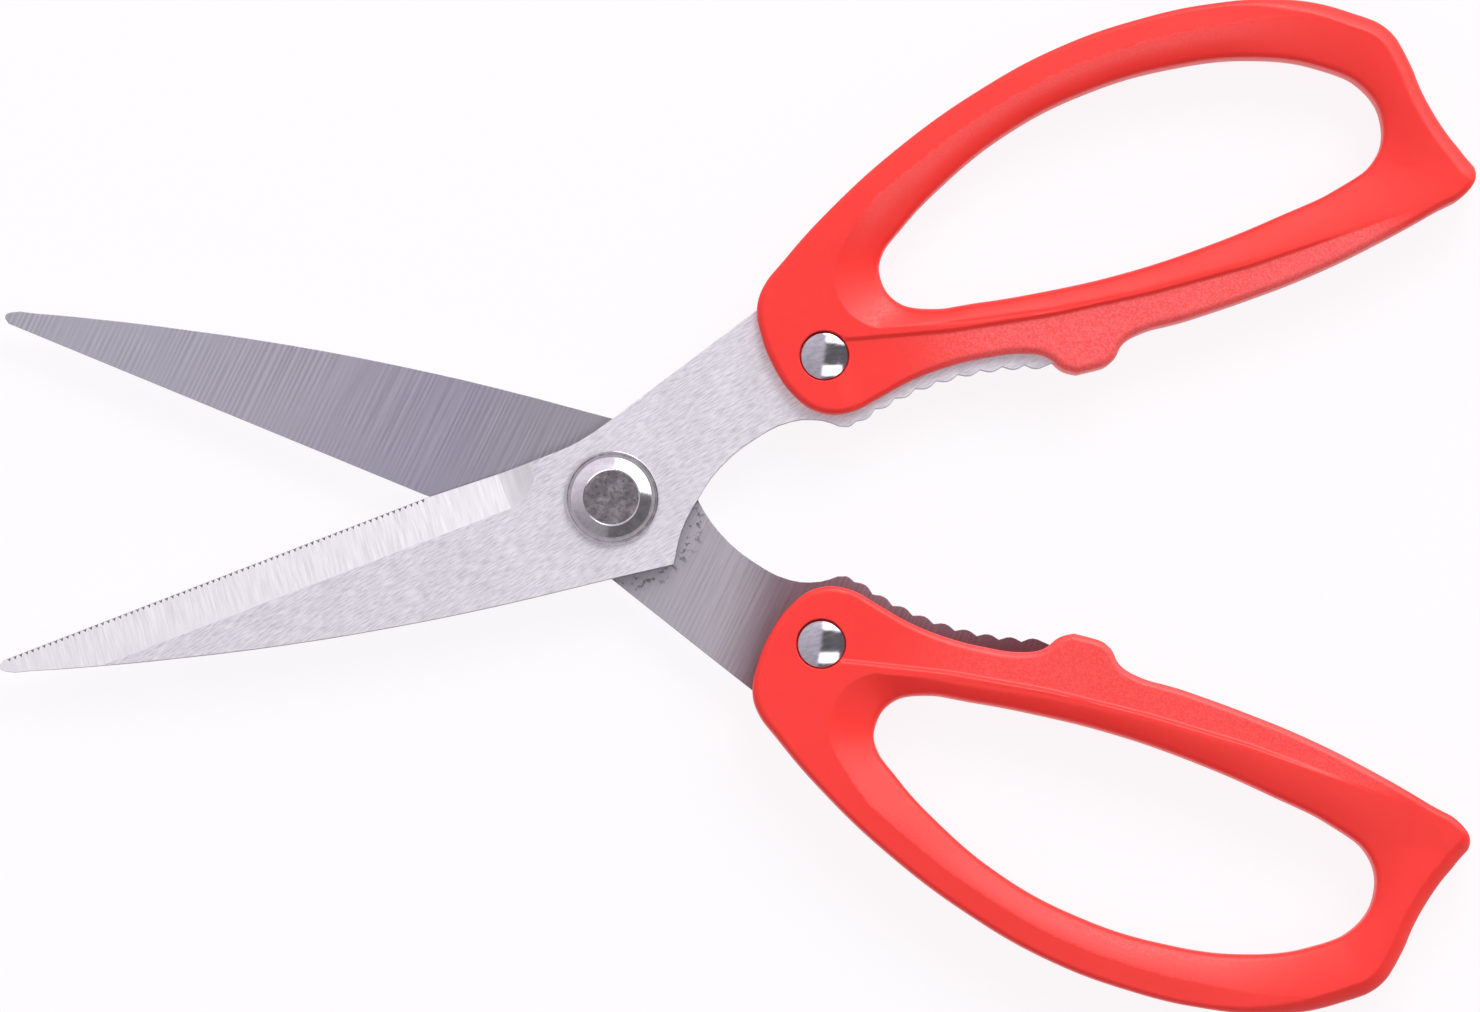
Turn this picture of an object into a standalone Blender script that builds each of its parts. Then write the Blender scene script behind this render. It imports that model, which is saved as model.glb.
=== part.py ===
"""Utility scissors, in metres, +Z up.

Two stamped steel halves turn on a headed pivot stud. Each half carries a moulded finger grip on
its tang, held by a two-piece rivet. The scissors lie on their rear face with the blades to -X and
the pivot axis on +Z through the origin.

A half is modelled closed, on the axes of its own frame, and turned out by half the opening. The
rear half is the same set of pieces turned over about X.
"""
import math

import bmesh
import bpy
from mathutils import Matrix, Vector

# Opening shown, measured from the line along which both halves lie when shut
HALF_OPENING = math.radians(15.75)

# Stack along the pivot axis, from the rear head's flat up to the front head's flat
BLADE_THICKNESS = 0.0023
BLADE_GAP = 0.0003
FIT_GAP = 0.0003

# Pivot stud and washers
PIVOT_RADIUS = 0.0030
PIVOT_CLEARANCE = 0.0001
HEAD_RADIUS = 0.00575
HEAD_FLAT_RADIUS = 0.00405
HEAD_HEIGHT = 0.0015
HEAD_RIM = 0.0004
WASHER_RADIUS = 0.0067
WASHER_THICKNESS = 0.00045

# Blade
BLADE_REACH = 0.0902
TIP_RADIUS = 0.0008
EDGE_START = Vector((-0.0260, 0.00693))
EDGE_SLOPE = 0.1046
EDGE_THICKNESS = 0.00035
BEVEL_HEEL = Vector((-0.0142, 0.0023))
BEVEL_WIDTH = 0.0058
GRIND_RADIUS = 0.0130

# Straight outer edge of the shank, on its way into the grip
SHANK_START = Vector((0.0032, 0.0109))
SHANK_END = Vector((0.0290, 0.0213))

# Gripping teeth on the tang
TOOTH_COUNT = 9
TOOTH_PITCH = 0.0032
TOOTH_DEPTH = 0.00055
TOOTH_SHIFT = -0.0010
TOOTH_ARCH_RADIUS = 0.0445
TOOTH_ARCH_TOP = Vector((0.0515, 0.0042))
TANG_END = 0.0663

# Grip
GRIP_THICKNESS = 0.0100
GRIP_EDGE_RADIUS = 0.0015
GRIP_NOSE = 0.0265
BOSS_FLAT = -0.00015
LOOP_SLOPE_WIDTH = 0.0034
LOOP_SLOPE_DEPTH = 0.0026
LOOP_KNUCKLE_WIDTH = 0.0010
LOOP_KNUCKLE_DEPTH = 0.0009
LAND_START = 0.0360
LAND_TILT = math.radians(0.5)
SCOOP_CENTRE = Vector((0.0475, 0.0202))
SCOOP_RADIUS = 0.0090
SCOOP_BALL_RADIUS = 0.0155

# Grip rivet
RIVET_CENTRE = Vector((0.0344, 0.01155))
RIVET_HEAD_RADIUS = 0.0033
RIVET_DOME_HEIGHT = 0.0011
RIVET_DOME_SINK = 0.0001
RIVET_SHANK_RADIUS = 0.0021
RIVET_PIN_RADIUS = 0.0010
RIVET_BORE_CLEARANCE = 0.0003
RIVET_CROWN = 0.0005
RECESS_RADIUS = 0.00355

# How finely curves and round pieces are divided
OUTLINE_STEPS = 3
ROUND_STEPS = 40
DOME_STEPS = 4
GRIND_STEPS = 5
EDGE_ROUND_STEPS = 2
EDGE_ROUND_ANGLE = math.radians(60)

# Points closer than this are one point, and faces closer in angle than this are one face
MERGE_DISTANCE = 1e-6
FLAT_ANGLE = 1e-3

# Heights that follow from the stack
MID_HEIGHT = HEAD_HEIGHT + WASHER_THICKNESS + 2 * FIT_GAP + BLADE_THICKNESS + BLADE_GAP / 2
STACK_HEIGHT = 2 * MID_HEIGHT
BLADE_BOTTOM = MID_HEIGHT + BLADE_GAP / 2
BLADE_TOP = BLADE_BOTTOM + BLADE_THICKNESS
WASHER_BOTTOM = BLADE_TOP + FIT_GAP
WASHER_TOP = WASHER_BOTTOM + WASHER_THICKNESS
HEAD_BOTTOM = WASHER_TOP + FIT_GAP
GRIP_TOP = MID_HEIGHT + GRIP_THICKNESS / 2
DOME_TOP = GRIP_TOP - RIVET_DOME_SINK
DOME_BASE = DOME_TOP - RIVET_DOME_HEIGHT
RECESS_FLOOR = DOME_BASE - FIT_GAP

# A cutter stands this far proud of the surface that it cuts
CUT_MARGIN = 0.0020

# Outline points are (x, y, kind): a SMOOTH point is rounded through, a CORNER ends straight runs
SMOOTH = "AUTO"
CORNER = "VECTOR"

# Stamping: heel of the cutting edge, back and end of the tang, inner side of the shank, spine
HEEL_CURVE = [
    (-0.0079, 0.00815, SMOOTH),
    (-0.0023, 0.0090, SMOOTH),
]
TANG_BACK_CURVE = [
    (0.0360, 0.0170, SMOOTH),
    (0.0400, 0.0122, SMOOTH),
    (0.0480, 0.0100, SMOOTH),
]
TANG_END_TOP = 0.0080
TANG_END_BOTTOM = 0.0024
SHANK_INNER_CURVE = [
    (0.0351, 0.0011, SMOOTH),
    (0.0318, 0.0029, SMOOTH),
    (0.0276, 0.0039, SMOOTH),
    (0.0220, 0.0029, SMOOTH),
    (0.0160, 0.0002, SMOOTH),
    (0.0118, -0.0033, SMOOTH),
    (0.0083, -0.0072, SMOOTH),
    (0.0061, -0.0114, CORNER),
]
SPINE_CURVE = [
    (-0.0040, -0.0110, SMOOTH),
    (-0.0200, -0.01055, SMOOTH),
    (-0.0350, -0.0096, SMOOTH),
    (-0.0500, -0.0081, SMOOTH),
    (-0.0650, -0.0060, SMOOTH),
    (-0.0780, -0.0038, SMOOTH),
    (-0.0860, -0.0022, SMOOTH),
]

# Grip, from its nose along the inner edge and back over the loop
NOSE_CURVE = [
    (GRIP_NOSE, 0.0170, SMOOTH),
    (0.0269, 0.0127, SMOOTH),
    (0.0288, 0.0072, SMOOTH),
    (0.0318, 0.0039, SMOOTH),
    (0.0360, 0.0029, SMOOTH),
]
JAW_SIDE_CURVE = [
    (0.0405, 0.0038, SMOOTH),
    (0.0450, 0.0049, SMOOTH),
    (0.0505, 0.0055, SMOOTH),
    (0.0570, 0.0053, SMOOTH),
    (0.0620, 0.0045, SMOOTH),
    (0.0648, 0.0032, SMOOTH),
]
BOSS_CURVE = [
    (0.0666, 0.0009, SMOOTH),
    (0.0684, BOSS_FLAT, CORNER),
    (0.0726, BOSS_FLAT, CORNER),
    (0.0742, 0.0006, SMOOTH),
    (0.0756, 0.0021, SMOOTH),
]
LOWER_BAR_CURVE = [
    (0.0778, 0.0030, SMOOTH),
    (0.0850, 0.0032, SMOOTH),
    (0.0950, 0.0038, SMOOTH),
    (0.1050, 0.0049, SMOOTH),
    (0.1150, 0.0068, SMOOTH),
    (0.1240, 0.0090, SMOOTH),
    (0.1286, 0.0103, SMOOTH),
]
BACK_END_CURVE = [
    (0.1307, 0.0126, SMOOTH),
    (0.1298, 0.0154, SMOOTH),
    (0.1280, 0.0197, SMOOTH),
    (0.1264, 0.0255, SMOOTH),
    (0.1256, 0.0310, SMOOTH),
    (0.1240, 0.0357, SMOOTH),
    (0.1200, 0.0391, SMOOTH),
]
TOP_BAR_CURVE = [
    (0.1120, 0.0433, SMOOTH),
    (0.1010, 0.0457, SMOOTH),
    (0.0900, 0.0463, SMOOTH),
    (0.0780, 0.0454, SMOOTH),
    (0.0660, 0.0426, SMOOTH),
    (0.0520, 0.0374, SMOOTH),
    (0.0400, 0.0312, SMOOTH),
    (0.0320, 0.0260, SMOOTH),
    (0.0284, 0.0232, SMOOTH),
    (0.0269, 0.0206, SMOOTH),
]

# Narrowest line of the finger hole
FINGER_HOLE_CURVE = [
    (0.0451, 0.0206, SMOOTH),
    (0.0463, 0.0167, SMOOTH),
    (0.0500, 0.0145, SMOOTH),
    (0.0570, 0.0134, SMOOTH),
    (0.0660, 0.0125, SMOOTH),
    (0.0780, 0.0120, SMOOTH),
    (0.0900, 0.0126, SMOOTH),
    (0.1020, 0.0141, SMOOTH),
    (0.1120, 0.0160, SMOOTH),
    (0.1174, 0.0185, SMOOTH),
    (0.1196, 0.0232, SMOOTH),
    (0.1183, 0.0285, SMOOTH),
    (0.1136, 0.0327, SMOOTH),
    (0.1050, 0.0365, SMOOTH),
    (0.0930, 0.0385, SMOOTH),
    (0.0800, 0.0382, SMOOTH),
    (0.0680, 0.0356, SMOOTH),
    (0.0570, 0.0308, SMOOTH),
    (0.0494, 0.0261, SMOOTH),
    (0.0459, 0.0231, SMOOTH),
]

# Crease between the loop and the low land, and how far past the grip's edge the land is cut
CREASE_CURVE = [
    (0.0383, 0.0129, CORNER),
    (0.0447, 0.01175, SMOOTH),
    (0.0527, 0.0103, SMOOTH),
    (0.0670, 0.00875, SMOOTH),
    (0.0816, 0.0081, SMOOTH),
    (0.0964, 0.00815, SMOOTH),
    (0.1114, 0.00915, SMOOTH),
    (0.1231, 0.0102, CORNER),
]
LAND_END = Vector((0.1290, 0.0107))
LAND_BELOW = -0.0030


def edge_height(x):
    """Height of the straight cutting edge at a place along the blade."""
    return EDGE_START.y + EDGE_SLOPE * (x - EDGE_START.x)


def shank_height(x):
    """Height of the shank's straight outer edge at a place along it."""
    run = SHANK_END - SHANK_START
    return SHANK_START.y + (x - SHANK_START.x) * run.y / run.x


def tooth_points():
    """Rounded teeth and sharp valleys along the arch, from the end of the tang to its nose."""
    centre = TOOTH_ARCH_TOP - Vector((0, TOOTH_ARCH_RADIUS))
    points = []
    for step in range(2 * TOOTH_COUNT + 1):
        is_tooth = step % 2 == 1
        run = TOOTH_SHIFT + (TOOTH_COUNT - step) / 2 * TOOTH_PITCH
        angle = run / TOOTH_ARCH_RADIUS
        radius = TOOTH_ARCH_RADIUS - (TOOTH_DEPTH if is_tooth else 0)
        place = centre + radius * Vector((math.sin(angle), math.cos(angle)))
        points.append((place.x, place.y, SMOOTH if is_tooth else CORNER))
    return points


def tang_back(gap):
    """Back of the tang inside the grip, or the slot's wall that runs a gap outside it."""
    start = (SHANK_END.x, SHANK_END.y, CORNER)
    end = (TANG_END, TANG_END_TOP, CORNER)
    return [(x + gap, y + gap, kind) for x, y, kind in (start, *TANG_BACK_CURVE, end)]


def blade_outline():
    """Stamping of one half: blade, pivot boss and tang."""
    tip_x = -BLADE_REACH
    tip_y = edge_height(tip_x) - TIP_RADIUS
    tip_start = (tip_x, tip_y, SMOOTH)
    edge_tip = (tip_x + TIP_RADIUS, edge_height(tip_x + TIP_RADIUS), CORNER)
    edge_heel = (EDGE_START.x, EDGE_START.y, CORNER)
    shank_start = (SHANK_START.x, SHANK_START.y, CORNER)
    tip_end = (tip_x + TIP_RADIUS, tip_y - TIP_RADIUS, SMOOTH)
    cutting_side = [tip_start, edge_tip, edge_heel, *HEEL_CURVE, shank_start]
    tang = [*tang_back(0), (TANG_END, TANG_END_BOTTOM, CORNER), *tooth_points()]
    return cutting_side + tang + SHANK_INNER_CURVE + SPINE_CURVE + [tip_end]


def grip_outline():
    """Outer outline of the grip."""
    inner_edge = NOSE_CURVE + JAW_SIDE_CURVE + BOSS_CURVE + LOWER_BAR_CURVE
    return inner_edge + BACK_END_CURVE + TOP_BAR_CURVE


def land_outline():
    """Low land between the crease and the inner edge, drawn past the edge so that it cuts it."""
    outside = [
        (LAND_END.x, LAND_END.y, CORNER),
        (LAND_END.x, LAND_BELOW, CORNER),
        (LAND_START, LAND_BELOW, CORNER),
    ]
    return CREASE_CURVE + outside


def slot_outline():
    """Slot for the tang, open at the nose and along the jaw side."""
    mouth_x = GRIP_NOSE - CUT_MARGIN
    mouth_y = shank_height(mouth_x) + FIT_GAP
    below = BOSS_FLAT - CUT_MARGIN
    return [
        (mouth_x, mouth_y, CORNER),
        *tang_back(FIT_GAP),
        (TANG_END + FIT_GAP, below, CORNER),
        (mouth_x, below, CORNER),
    ]


def make_material(name, colour, roughness, metallic):
    material = bpy.data.materials.new(name)
    material.use_nodes = True
    shader = material.node_tree.nodes["Principled BSDF"]
    shader.inputs["Base Color"].default_value = (*colour, 1.0)
    shader.inputs["Roughness"].default_value = roughness
    shader.inputs["Metallic"].default_value = metallic
    return material


def add_object(name, mesh, collection, parent, material=None):
    obj = bpy.data.objects.new(name, mesh)
    collection.objects.link(obj)
    obj.parent = parent
    if material:
        mesh.materials.append(material)
    return obj


def hide_cutter(obj):
    obj.hide_render = True
    obj.display_type = "WIRE"
    return obj


def outline_curve(name, outline, half_thickness):
    """Flat outline drawn as a closed 2D curve."""
    curve = bpy.data.curves.new(name, "CURVE")
    curve.dimensions = "2D"
    curve.fill_mode = "BOTH"
    curve.extrude = half_thickness
    curve.resolution_u = OUTLINE_STEPS
    curve.render_resolution_u = OUTLINE_STEPS
    spline = curve.splines.new("BEZIER")
    spline.bezier_points.add(len(outline) - 1)
    spline.use_cyclic_u = True
    for bezier, (x, y, kind) in zip(spline.bezier_points, outline):
        bezier.co = (x, y, 0)
        bezier.handle_left_type = kind
        bezier.handle_right_type = kind
    return curve


def mesh_from_curve(name, curve):
    """Mesh of a curve as the viewport shows it; the curve is removed."""
    holder = bpy.data.objects.new(name, curve)
    bpy.context.scene.collection.objects.link(holder)
    evaluated = holder.evaluated_get(bpy.context.evaluated_depsgraph_get())
    mesh = bpy.data.meshes.new_from_object(evaluated)
    mesh.name = name
    bpy.data.objects.remove(holder)
    bpy.data.curves.remove(curve)
    return mesh


def outline_mesh(name, outline, half_thickness):
    """Solid of a filled outline, extruded both ways from its plane, with undivided faces."""
    mesh = mesh_from_curve(name, outline_curve(name, outline, half_thickness))
    solid = bmesh.new()
    solid.from_mesh(mesh)
    bmesh.ops.remove_doubles(solid, verts=solid.verts, dist=MERGE_DISTANCE)
    bmesh.ops.dissolve_limit(
        solid, angle_limit=FLAT_ANGLE, verts=solid.verts, edges=solid.edges
    )
    bmesh.ops.recalc_face_normals(solid, faces=solid.faces)
    solid.to_mesh(mesh)
    solid.free()
    return mesh


def cylinder_mesh(name, radius, bottom, top):
    """Round cutter between two heights."""
    mesh = bpy.data.meshes.new(name)
    solid = bmesh.new()
    place = Matrix.Translation((0, 0, (bottom + top) / 2))
    bmesh.ops.create_cone(
        solid,
        cap_ends=True,
        segments=ROUND_STEPS,
        radius1=radius,
        radius2=radius,
        depth=top - bottom,
        matrix=place,
    )
    solid.to_mesh(mesh)
    solid.free()
    return mesh


def turned_object(name, profile, collection, parent, material, centre=Vector((0, 0))):
    """Round piece: a profile of (radius, height) turned about its axis."""
    mesh = bpy.data.meshes.new(name)
    points = [(radius, 0, height) for radius, height in profile]
    closed = profile[0][0] > 0
    edges = [(step, step + 1) for step in range(len(points) - 1)]
    if closed:
        edges.append((len(points) - 1, 0))
    mesh.from_pydata(points, edges, [])
    obj = add_object(name, mesh, collection, parent, material)
    obj.location = (centre.x, centre.y, 0)
    screw = obj.modifiers.new("Turn", "SCREW")
    screw.steps = ROUND_STEPS
    screw.render_steps = ROUND_STEPS
    screw.use_merge_vertices = True
    screw.merge_threshold = MERGE_DISTANCE
    screw.use_smooth_shade = True
    return obj


def cut(obj, cutter):
    boolean = obj.modifiers.new("Cut " + cutter.name, "BOOLEAN")
    boolean.operation = "DIFFERENCE"
    boolean.solver = "EXACT"
    boolean.object = cutter


def grind_cutter(name, collection, parent):
    """Block that grinds the bevel: flat along the edge, run out at the heel on the wheel's radius."""
    along = Vector((1, EDGE_SLOPE, 0)).normalized()
    across = Vector((along.y, -along.x, 0))
    tilt = math.atan2(BLADE_THICKNESS - EDGE_THICKNESS, BEVEL_WIDTH)
    up = Vector((0, 0, math.cos(tilt))) - across * math.sin(tilt)
    height = 2 * BLADE_THICKNESS
    full_turn = math.acos(1 - BLADE_THICKNESS / GRIND_RADIUS)
    profile = [(-BLADE_REACH, 0, CORNER), (0, 0, CORNER)]
    for step in range(1, GRIND_STEPS + 2):
        turn = full_turn * step / GRIND_STEPS
        run = GRIND_RADIUS * math.sin(turn)
        rise = GRIND_RADIUS * (1 - math.cos(turn))
        profile.append((run, rise, CORNER))
    profile += [(run, height, CORNER), (-BLADE_REACH, height, CORNER)]
    cutter = add_object(name, outline_mesh(name, profile, 3 * BEVEL_WIDTH), collection, parent)
    axes = Matrix((along, up, along.cross(up))).transposed()
    start = Vector((BEVEL_HEEL.x, BEVEL_HEEL.y, BLADE_TOP))
    cutter.matrix_local = Matrix.Translation(start) @ axes.to_4x4()
    return hide_cutter(cutter)


def loop_points(outline):
    """Points along a closed outline, in order."""
    curve = outline_curve("finger_hole", outline, 0)
    curve.fill_mode = "NONE"
    mesh = mesh_from_curve("finger_hole", curve)
    points = [vertex.co.xy for vertex in mesh.vertices]
    bpy.data.meshes.remove(mesh)
    return points


def hole_cutter(name, collection, parent):
    """Finger hole, narrowest at mid height and sloping out to the crest of the loop."""
    half_grip = GRIP_THICKNESS / 2
    knuckle = (LOOP_KNUCKLE_WIDTH, half_grip - LOOP_KNUCKLE_DEPTH)
    rise = LOOP_KNUCKLE_DEPTH / (LOOP_SLOPE_WIDTH - LOOP_KNUCKLE_WIDTH) * CUT_MARGIN
    above = (LOOP_SLOPE_WIDTH + CUT_MARGIN, half_grip + rise)
    slope = [(0, half_grip - LOOP_SLOPE_DEPTH), knuckle, above]
    sections = [(offset, -height) for offset, height in reversed(slope)] + slope
    points = loop_points(FINGER_HOLE_CURVE)
    solid = bmesh.new()
    rings = []
    for offset, height in sections:
        ring = []
        for before, point, after in zip(points[-1:] + points[:-1], points, points[1:] + points[:1]):
            tangent = (after - before).normalized()
            outward = Vector((tangent.y, -tangent.x))
            place = point + offset * outward
            ring.append(solid.verts.new((place.x, place.y, height)))
        rings.append(ring)
    for lower, upper in zip(rings, rings[1:]):
        for step in range(len(lower)):
            after = (step + 1) % len(lower)
            solid.faces.new((lower[step], lower[after], upper[after], upper[step]))
    solid.faces.new(reversed(rings[0]))
    solid.faces.new(rings[-1])
    bmesh.ops.recalc_face_normals(solid, faces=solid.faces)
    mesh = bpy.data.meshes.new(name)
    solid.to_mesh(mesh)
    solid.free()
    cutter = add_object(name, mesh, collection, parent)
    cutter.location.z = MID_HEIGHT
    return hide_cutter(cutter)


def land_cutters(prefix, collection, parent):
    """Two slabs, above and below, tilted so that the land sinks slowly away from the rivet."""
    cutters = []
    for name, side in ((prefix + "_land_top", 1), (prefix + "_land_bottom", -1)):
        mesh = outline_mesh(name, land_outline(), CUT_MARGIN)
        mesh.transform(Matrix.Translation((-LAND_START, 0, side * CUT_MARGIN)))
        cutter = add_object(name, mesh, collection, parent)
        cutter.location = (LAND_START, 0, MID_HEIGHT + side * GRIP_THICKNESS / 2)
        cutter.rotation_euler.y = side * LAND_TILT
        cutters.append(hide_cutter(cutter))
    return cutters


def scoop_cutters(prefix, collection, parent):
    """Two balls that hollow out the front of the finger loop."""
    lift = math.sqrt(SCOOP_BALL_RADIUS**2 - SCOOP_RADIUS**2)
    cutters = []
    for name, side in ((prefix + "_scoop_top", 1), (prefix + "_scoop_bottom", -1)):
        mesh = bpy.data.meshes.new(name)
        solid = bmesh.new()
        bmesh.ops.create_uvsphere(
            solid, u_segments=ROUND_STEPS, v_segments=ROUND_STEPS // 2, radius=SCOOP_BALL_RADIUS
        )
        solid.to_mesh(mesh)
        solid.free()
        cutter = add_object(name, mesh, collection, parent)
        height = MID_HEIGHT + side * (GRIP_THICKNESS / 2 + lift)
        cutter.location = (SCOOP_CENTRE.x, SCOOP_CENTRE.y, height)
        cutters.append(hide_cutter(cutter))
    return cutters


def rivet_cutters(prefix, collection, parent):
    """Shank bore through grip and tang, and a round recess for each head."""
    low, high = MID_HEIGHT - GRIP_THICKNESS / 2 - CUT_MARGIN, GRIP_TOP + CUT_MARGIN
    bore_radius = RIVET_SHANK_RADIUS + FIT_GAP
    parts = [
        (prefix + "_rivet_bore", bore_radius, low, high),
        (prefix + "_recess_top", RECESS_RADIUS, RECESS_FLOOR, high),
        (prefix + "_recess_bottom", RECESS_RADIUS, low, STACK_HEIGHT - RECESS_FLOOR),
    ]
    cutters = []
    for name, radius, bottom, top in parts:
        mesh = cylinder_mesh(name, radius, bottom, top)
        cutter = add_object(name, mesh, collection, parent)
        cutter.location = (RIVET_CENTRE.x, RIVET_CENTRE.y, 0)
        cutters.append(hide_cutter(cutter))
    return cutters


def make_blade(prefix, collections, parent, material, rivet_bore):
    pieces, cutters = collections
    mesh = outline_mesh(prefix + "_blade", blade_outline(), BLADE_THICKNESS / 2)
    mesh.transform(Matrix.Translation((0, 0, (BLADE_BOTTOM + BLADE_TOP) / 2)))
    blade = add_object(prefix + "_blade", mesh, pieces, parent, material)
    cut(blade, grind_cutter(prefix + "_grind", cutters, parent))
    bore_radius = PIVOT_RADIUS + PIVOT_CLEARANCE
    bore_mesh = cylinder_mesh(prefix + "_pivot_bore", bore_radius, 0, STACK_HEIGHT)
    cut(blade, hide_cutter(add_object(prefix + "_pivot_bore", bore_mesh, cutters, parent)))
    cut(blade, rivet_bore)


def make_grip(prefix, collections, parent, material, rivet_holes):
    pieces, cutters = collections
    mesh = outline_mesh(prefix + "_grip", grip_outline(), GRIP_THICKNESS / 2)
    mesh.transform(Matrix.Translation((0, 0, MID_HEIGHT)))
    grip = add_object(prefix + "_grip", mesh, pieces, parent, material)
    rounding = grip.modifiers.new("Round edges", "BEVEL")
    rounding.width = GRIP_EDGE_RADIUS
    rounding.segments = EDGE_ROUND_STEPS
    rounding.limit_method = "ANGLE"
    rounding.angle_limit = EDGE_ROUND_ANGLE
    cut(grip, hole_cutter(prefix + "_finger_hole", cutters, parent))
    for cutter in land_cutters(prefix, cutters, parent) + scoop_cutters(prefix, cutters, parent):
        cut(grip, cutter)
    slot_mesh = outline_mesh(prefix + "_tang_slot", slot_outline(), BLADE_THICKNESS / 2 + FIT_GAP)
    slot_mesh.transform(Matrix.Translation((0, 0, (BLADE_BOTTOM + BLADE_TOP) / 2)))
    cut(grip, hide_cutter(add_object(prefix + "_tang_slot", slot_mesh, cutters, parent)))
    for cutter in rivet_holes:
        cut(grip, cutter)


def dome_profile(top, base, radius, direction):
    """Profile of a domed head from its rim to its crown, on a ball through both."""
    height = abs(top - base)
    ball = (radius**2 + height**2) / (2 * height)
    spread = math.asin(radius / ball)
    points = []
    for step in range(1, DOME_STEPS + 1):
        angle = spread * (1 - step / DOME_STEPS)
        rise = ball * math.cos(angle) - (ball - height)
        points.append((ball * math.sin(angle), base + direction * rise))
    points[-1] = (0, top)
    return points


def make_grip_rivet(prefix, pieces, parent, material):
    """Post with a bored shank, and a cap whose pin is driven into it."""
    cap_top = STACK_HEIGHT - DOME_TOP
    cap_base = STACK_HEIGHT - DOME_BASE
    shank_end = cap_base + FIT_GAP
    bore_radius = RIVET_PIN_RADIUS + RIVET_BORE_CLEARANCE
    bore_end = DOME_BASE - RIVET_CROWN
    crown = list(reversed(dome_profile(DOME_TOP, DOME_BASE, RIVET_HEAD_RADIUS, 1)))
    post = [
        *crown,
        (RIVET_HEAD_RADIUS, DOME_BASE),
        (RIVET_SHANK_RADIUS, DOME_BASE),
        (RIVET_SHANK_RADIUS, shank_end),
        (bore_radius, shank_end),
        (bore_radius, bore_end),
        (0, bore_end),
    ]
    cap = [
        (0, bore_end - FIT_GAP),
        (RIVET_PIN_RADIUS, bore_end - FIT_GAP),
        (RIVET_PIN_RADIUS, cap_base),
        (RIVET_HEAD_RADIUS, cap_base),
        *dome_profile(cap_top, cap_base, RIVET_HEAD_RADIUS, -1),
    ]
    for name, profile in (("_grip_rivet_post", post), ("_grip_rivet_cap", cap)):
        turned_object(prefix + name, profile, pieces, parent, material, RIVET_CENTRE)


def make_pivot(pieces, steel, bright):
    """Headed stud, and a washer under each head."""
    front_head = [
        (0, STACK_HEIGHT),
        (HEAD_FLAT_RADIUS, STACK_HEIGHT),
        (HEAD_RADIUS, HEAD_BOTTOM + HEAD_RIM),
        (HEAD_RADIUS, HEAD_BOTTOM),
        (PIVOT_RADIUS, HEAD_BOTTOM),
    ]
    rear_head = [(radius, STACK_HEIGHT - height) for radius, height in reversed(front_head)]
    turned_object("pivot_stud", front_head + rear_head, pieces, None, bright)
    inner = PIVOT_RADIUS + FIT_GAP
    low, high = WASHER_BOTTOM, WASHER_TOP
    for name in ("front_pivot_washer", "rear_pivot_washer"):
        ring = [(inner, high), (WASHER_RADIUS, high), (WASHER_RADIUS, low), (inner, low)]
        turned_object(name, ring, pieces, None, steel)
        low, high = STACK_HEIGHT - WASHER_TOP, STACK_HEIGHT - WASHER_BOTTOM


def make_half(prefix, collections, location, rotation, materials):
    """All the pieces of one half, under an empty that stands on the pivot axis."""
    pieces, cutters = collections
    steel, bright, plastic = materials
    frame = add_object(prefix + "_half_frame", None, pieces, None)
    frame.location = location
    frame.rotation_euler = rotation
    rivet_holes = rivet_cutters(prefix, cutters, frame)
    make_blade(prefix, collections, frame, steel, rivet_holes[0])
    make_grip(prefix, collections, frame, plastic, rivet_holes)
    make_grip_rivet(prefix, pieces, frame, bright)


def main():
    for obj in list(bpy.data.objects):
        bpy.data.objects.remove(obj)
    pieces = bpy.data.collections.new("Utility scissors")
    cutters = bpy.data.collections.new("Cutters")
    for collection in (pieces, cutters):
        bpy.context.scene.collection.children.link(collection)
    steel = make_material("brushed steel", (0.66, 0.64, 0.68), 0.35, 1.0)
    bright = make_material("bright steel", (0.78, 0.77, 0.80), 0.12, 1.0)
    plastic = make_material("red grip plastic", (0.80, 0.035, 0.025), 0.45, 0.0)
    materials = (steel, bright, plastic)
    collections = (pieces, cutters)
    make_half("front", collections, (0, 0, 0), (0, 0, HALF_OPENING), materials)
    make_half("rear", collections, (0, 0, STACK_HEIGHT), (math.pi, 0, -HALF_OPENING), materials)
    make_pivot(pieces, steel, bright)
    bpy.context.view_layer.update()


main()
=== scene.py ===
"""Looks of a pair of utility scissors: sanded and ground steel blades, polished rivets, a peened
pivot, and red grips moulded with a fine spark texture.

Each half is shaped shut, in the frame of its own pivot, and then turned out into its place. Shapes
are worked out in millimetres and made metres where a mesh is built.
"""
import math

import bmesh
import bpy
import numpy as np
from mathutils import Euler, Matrix, Vector, geometry, noise


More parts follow.
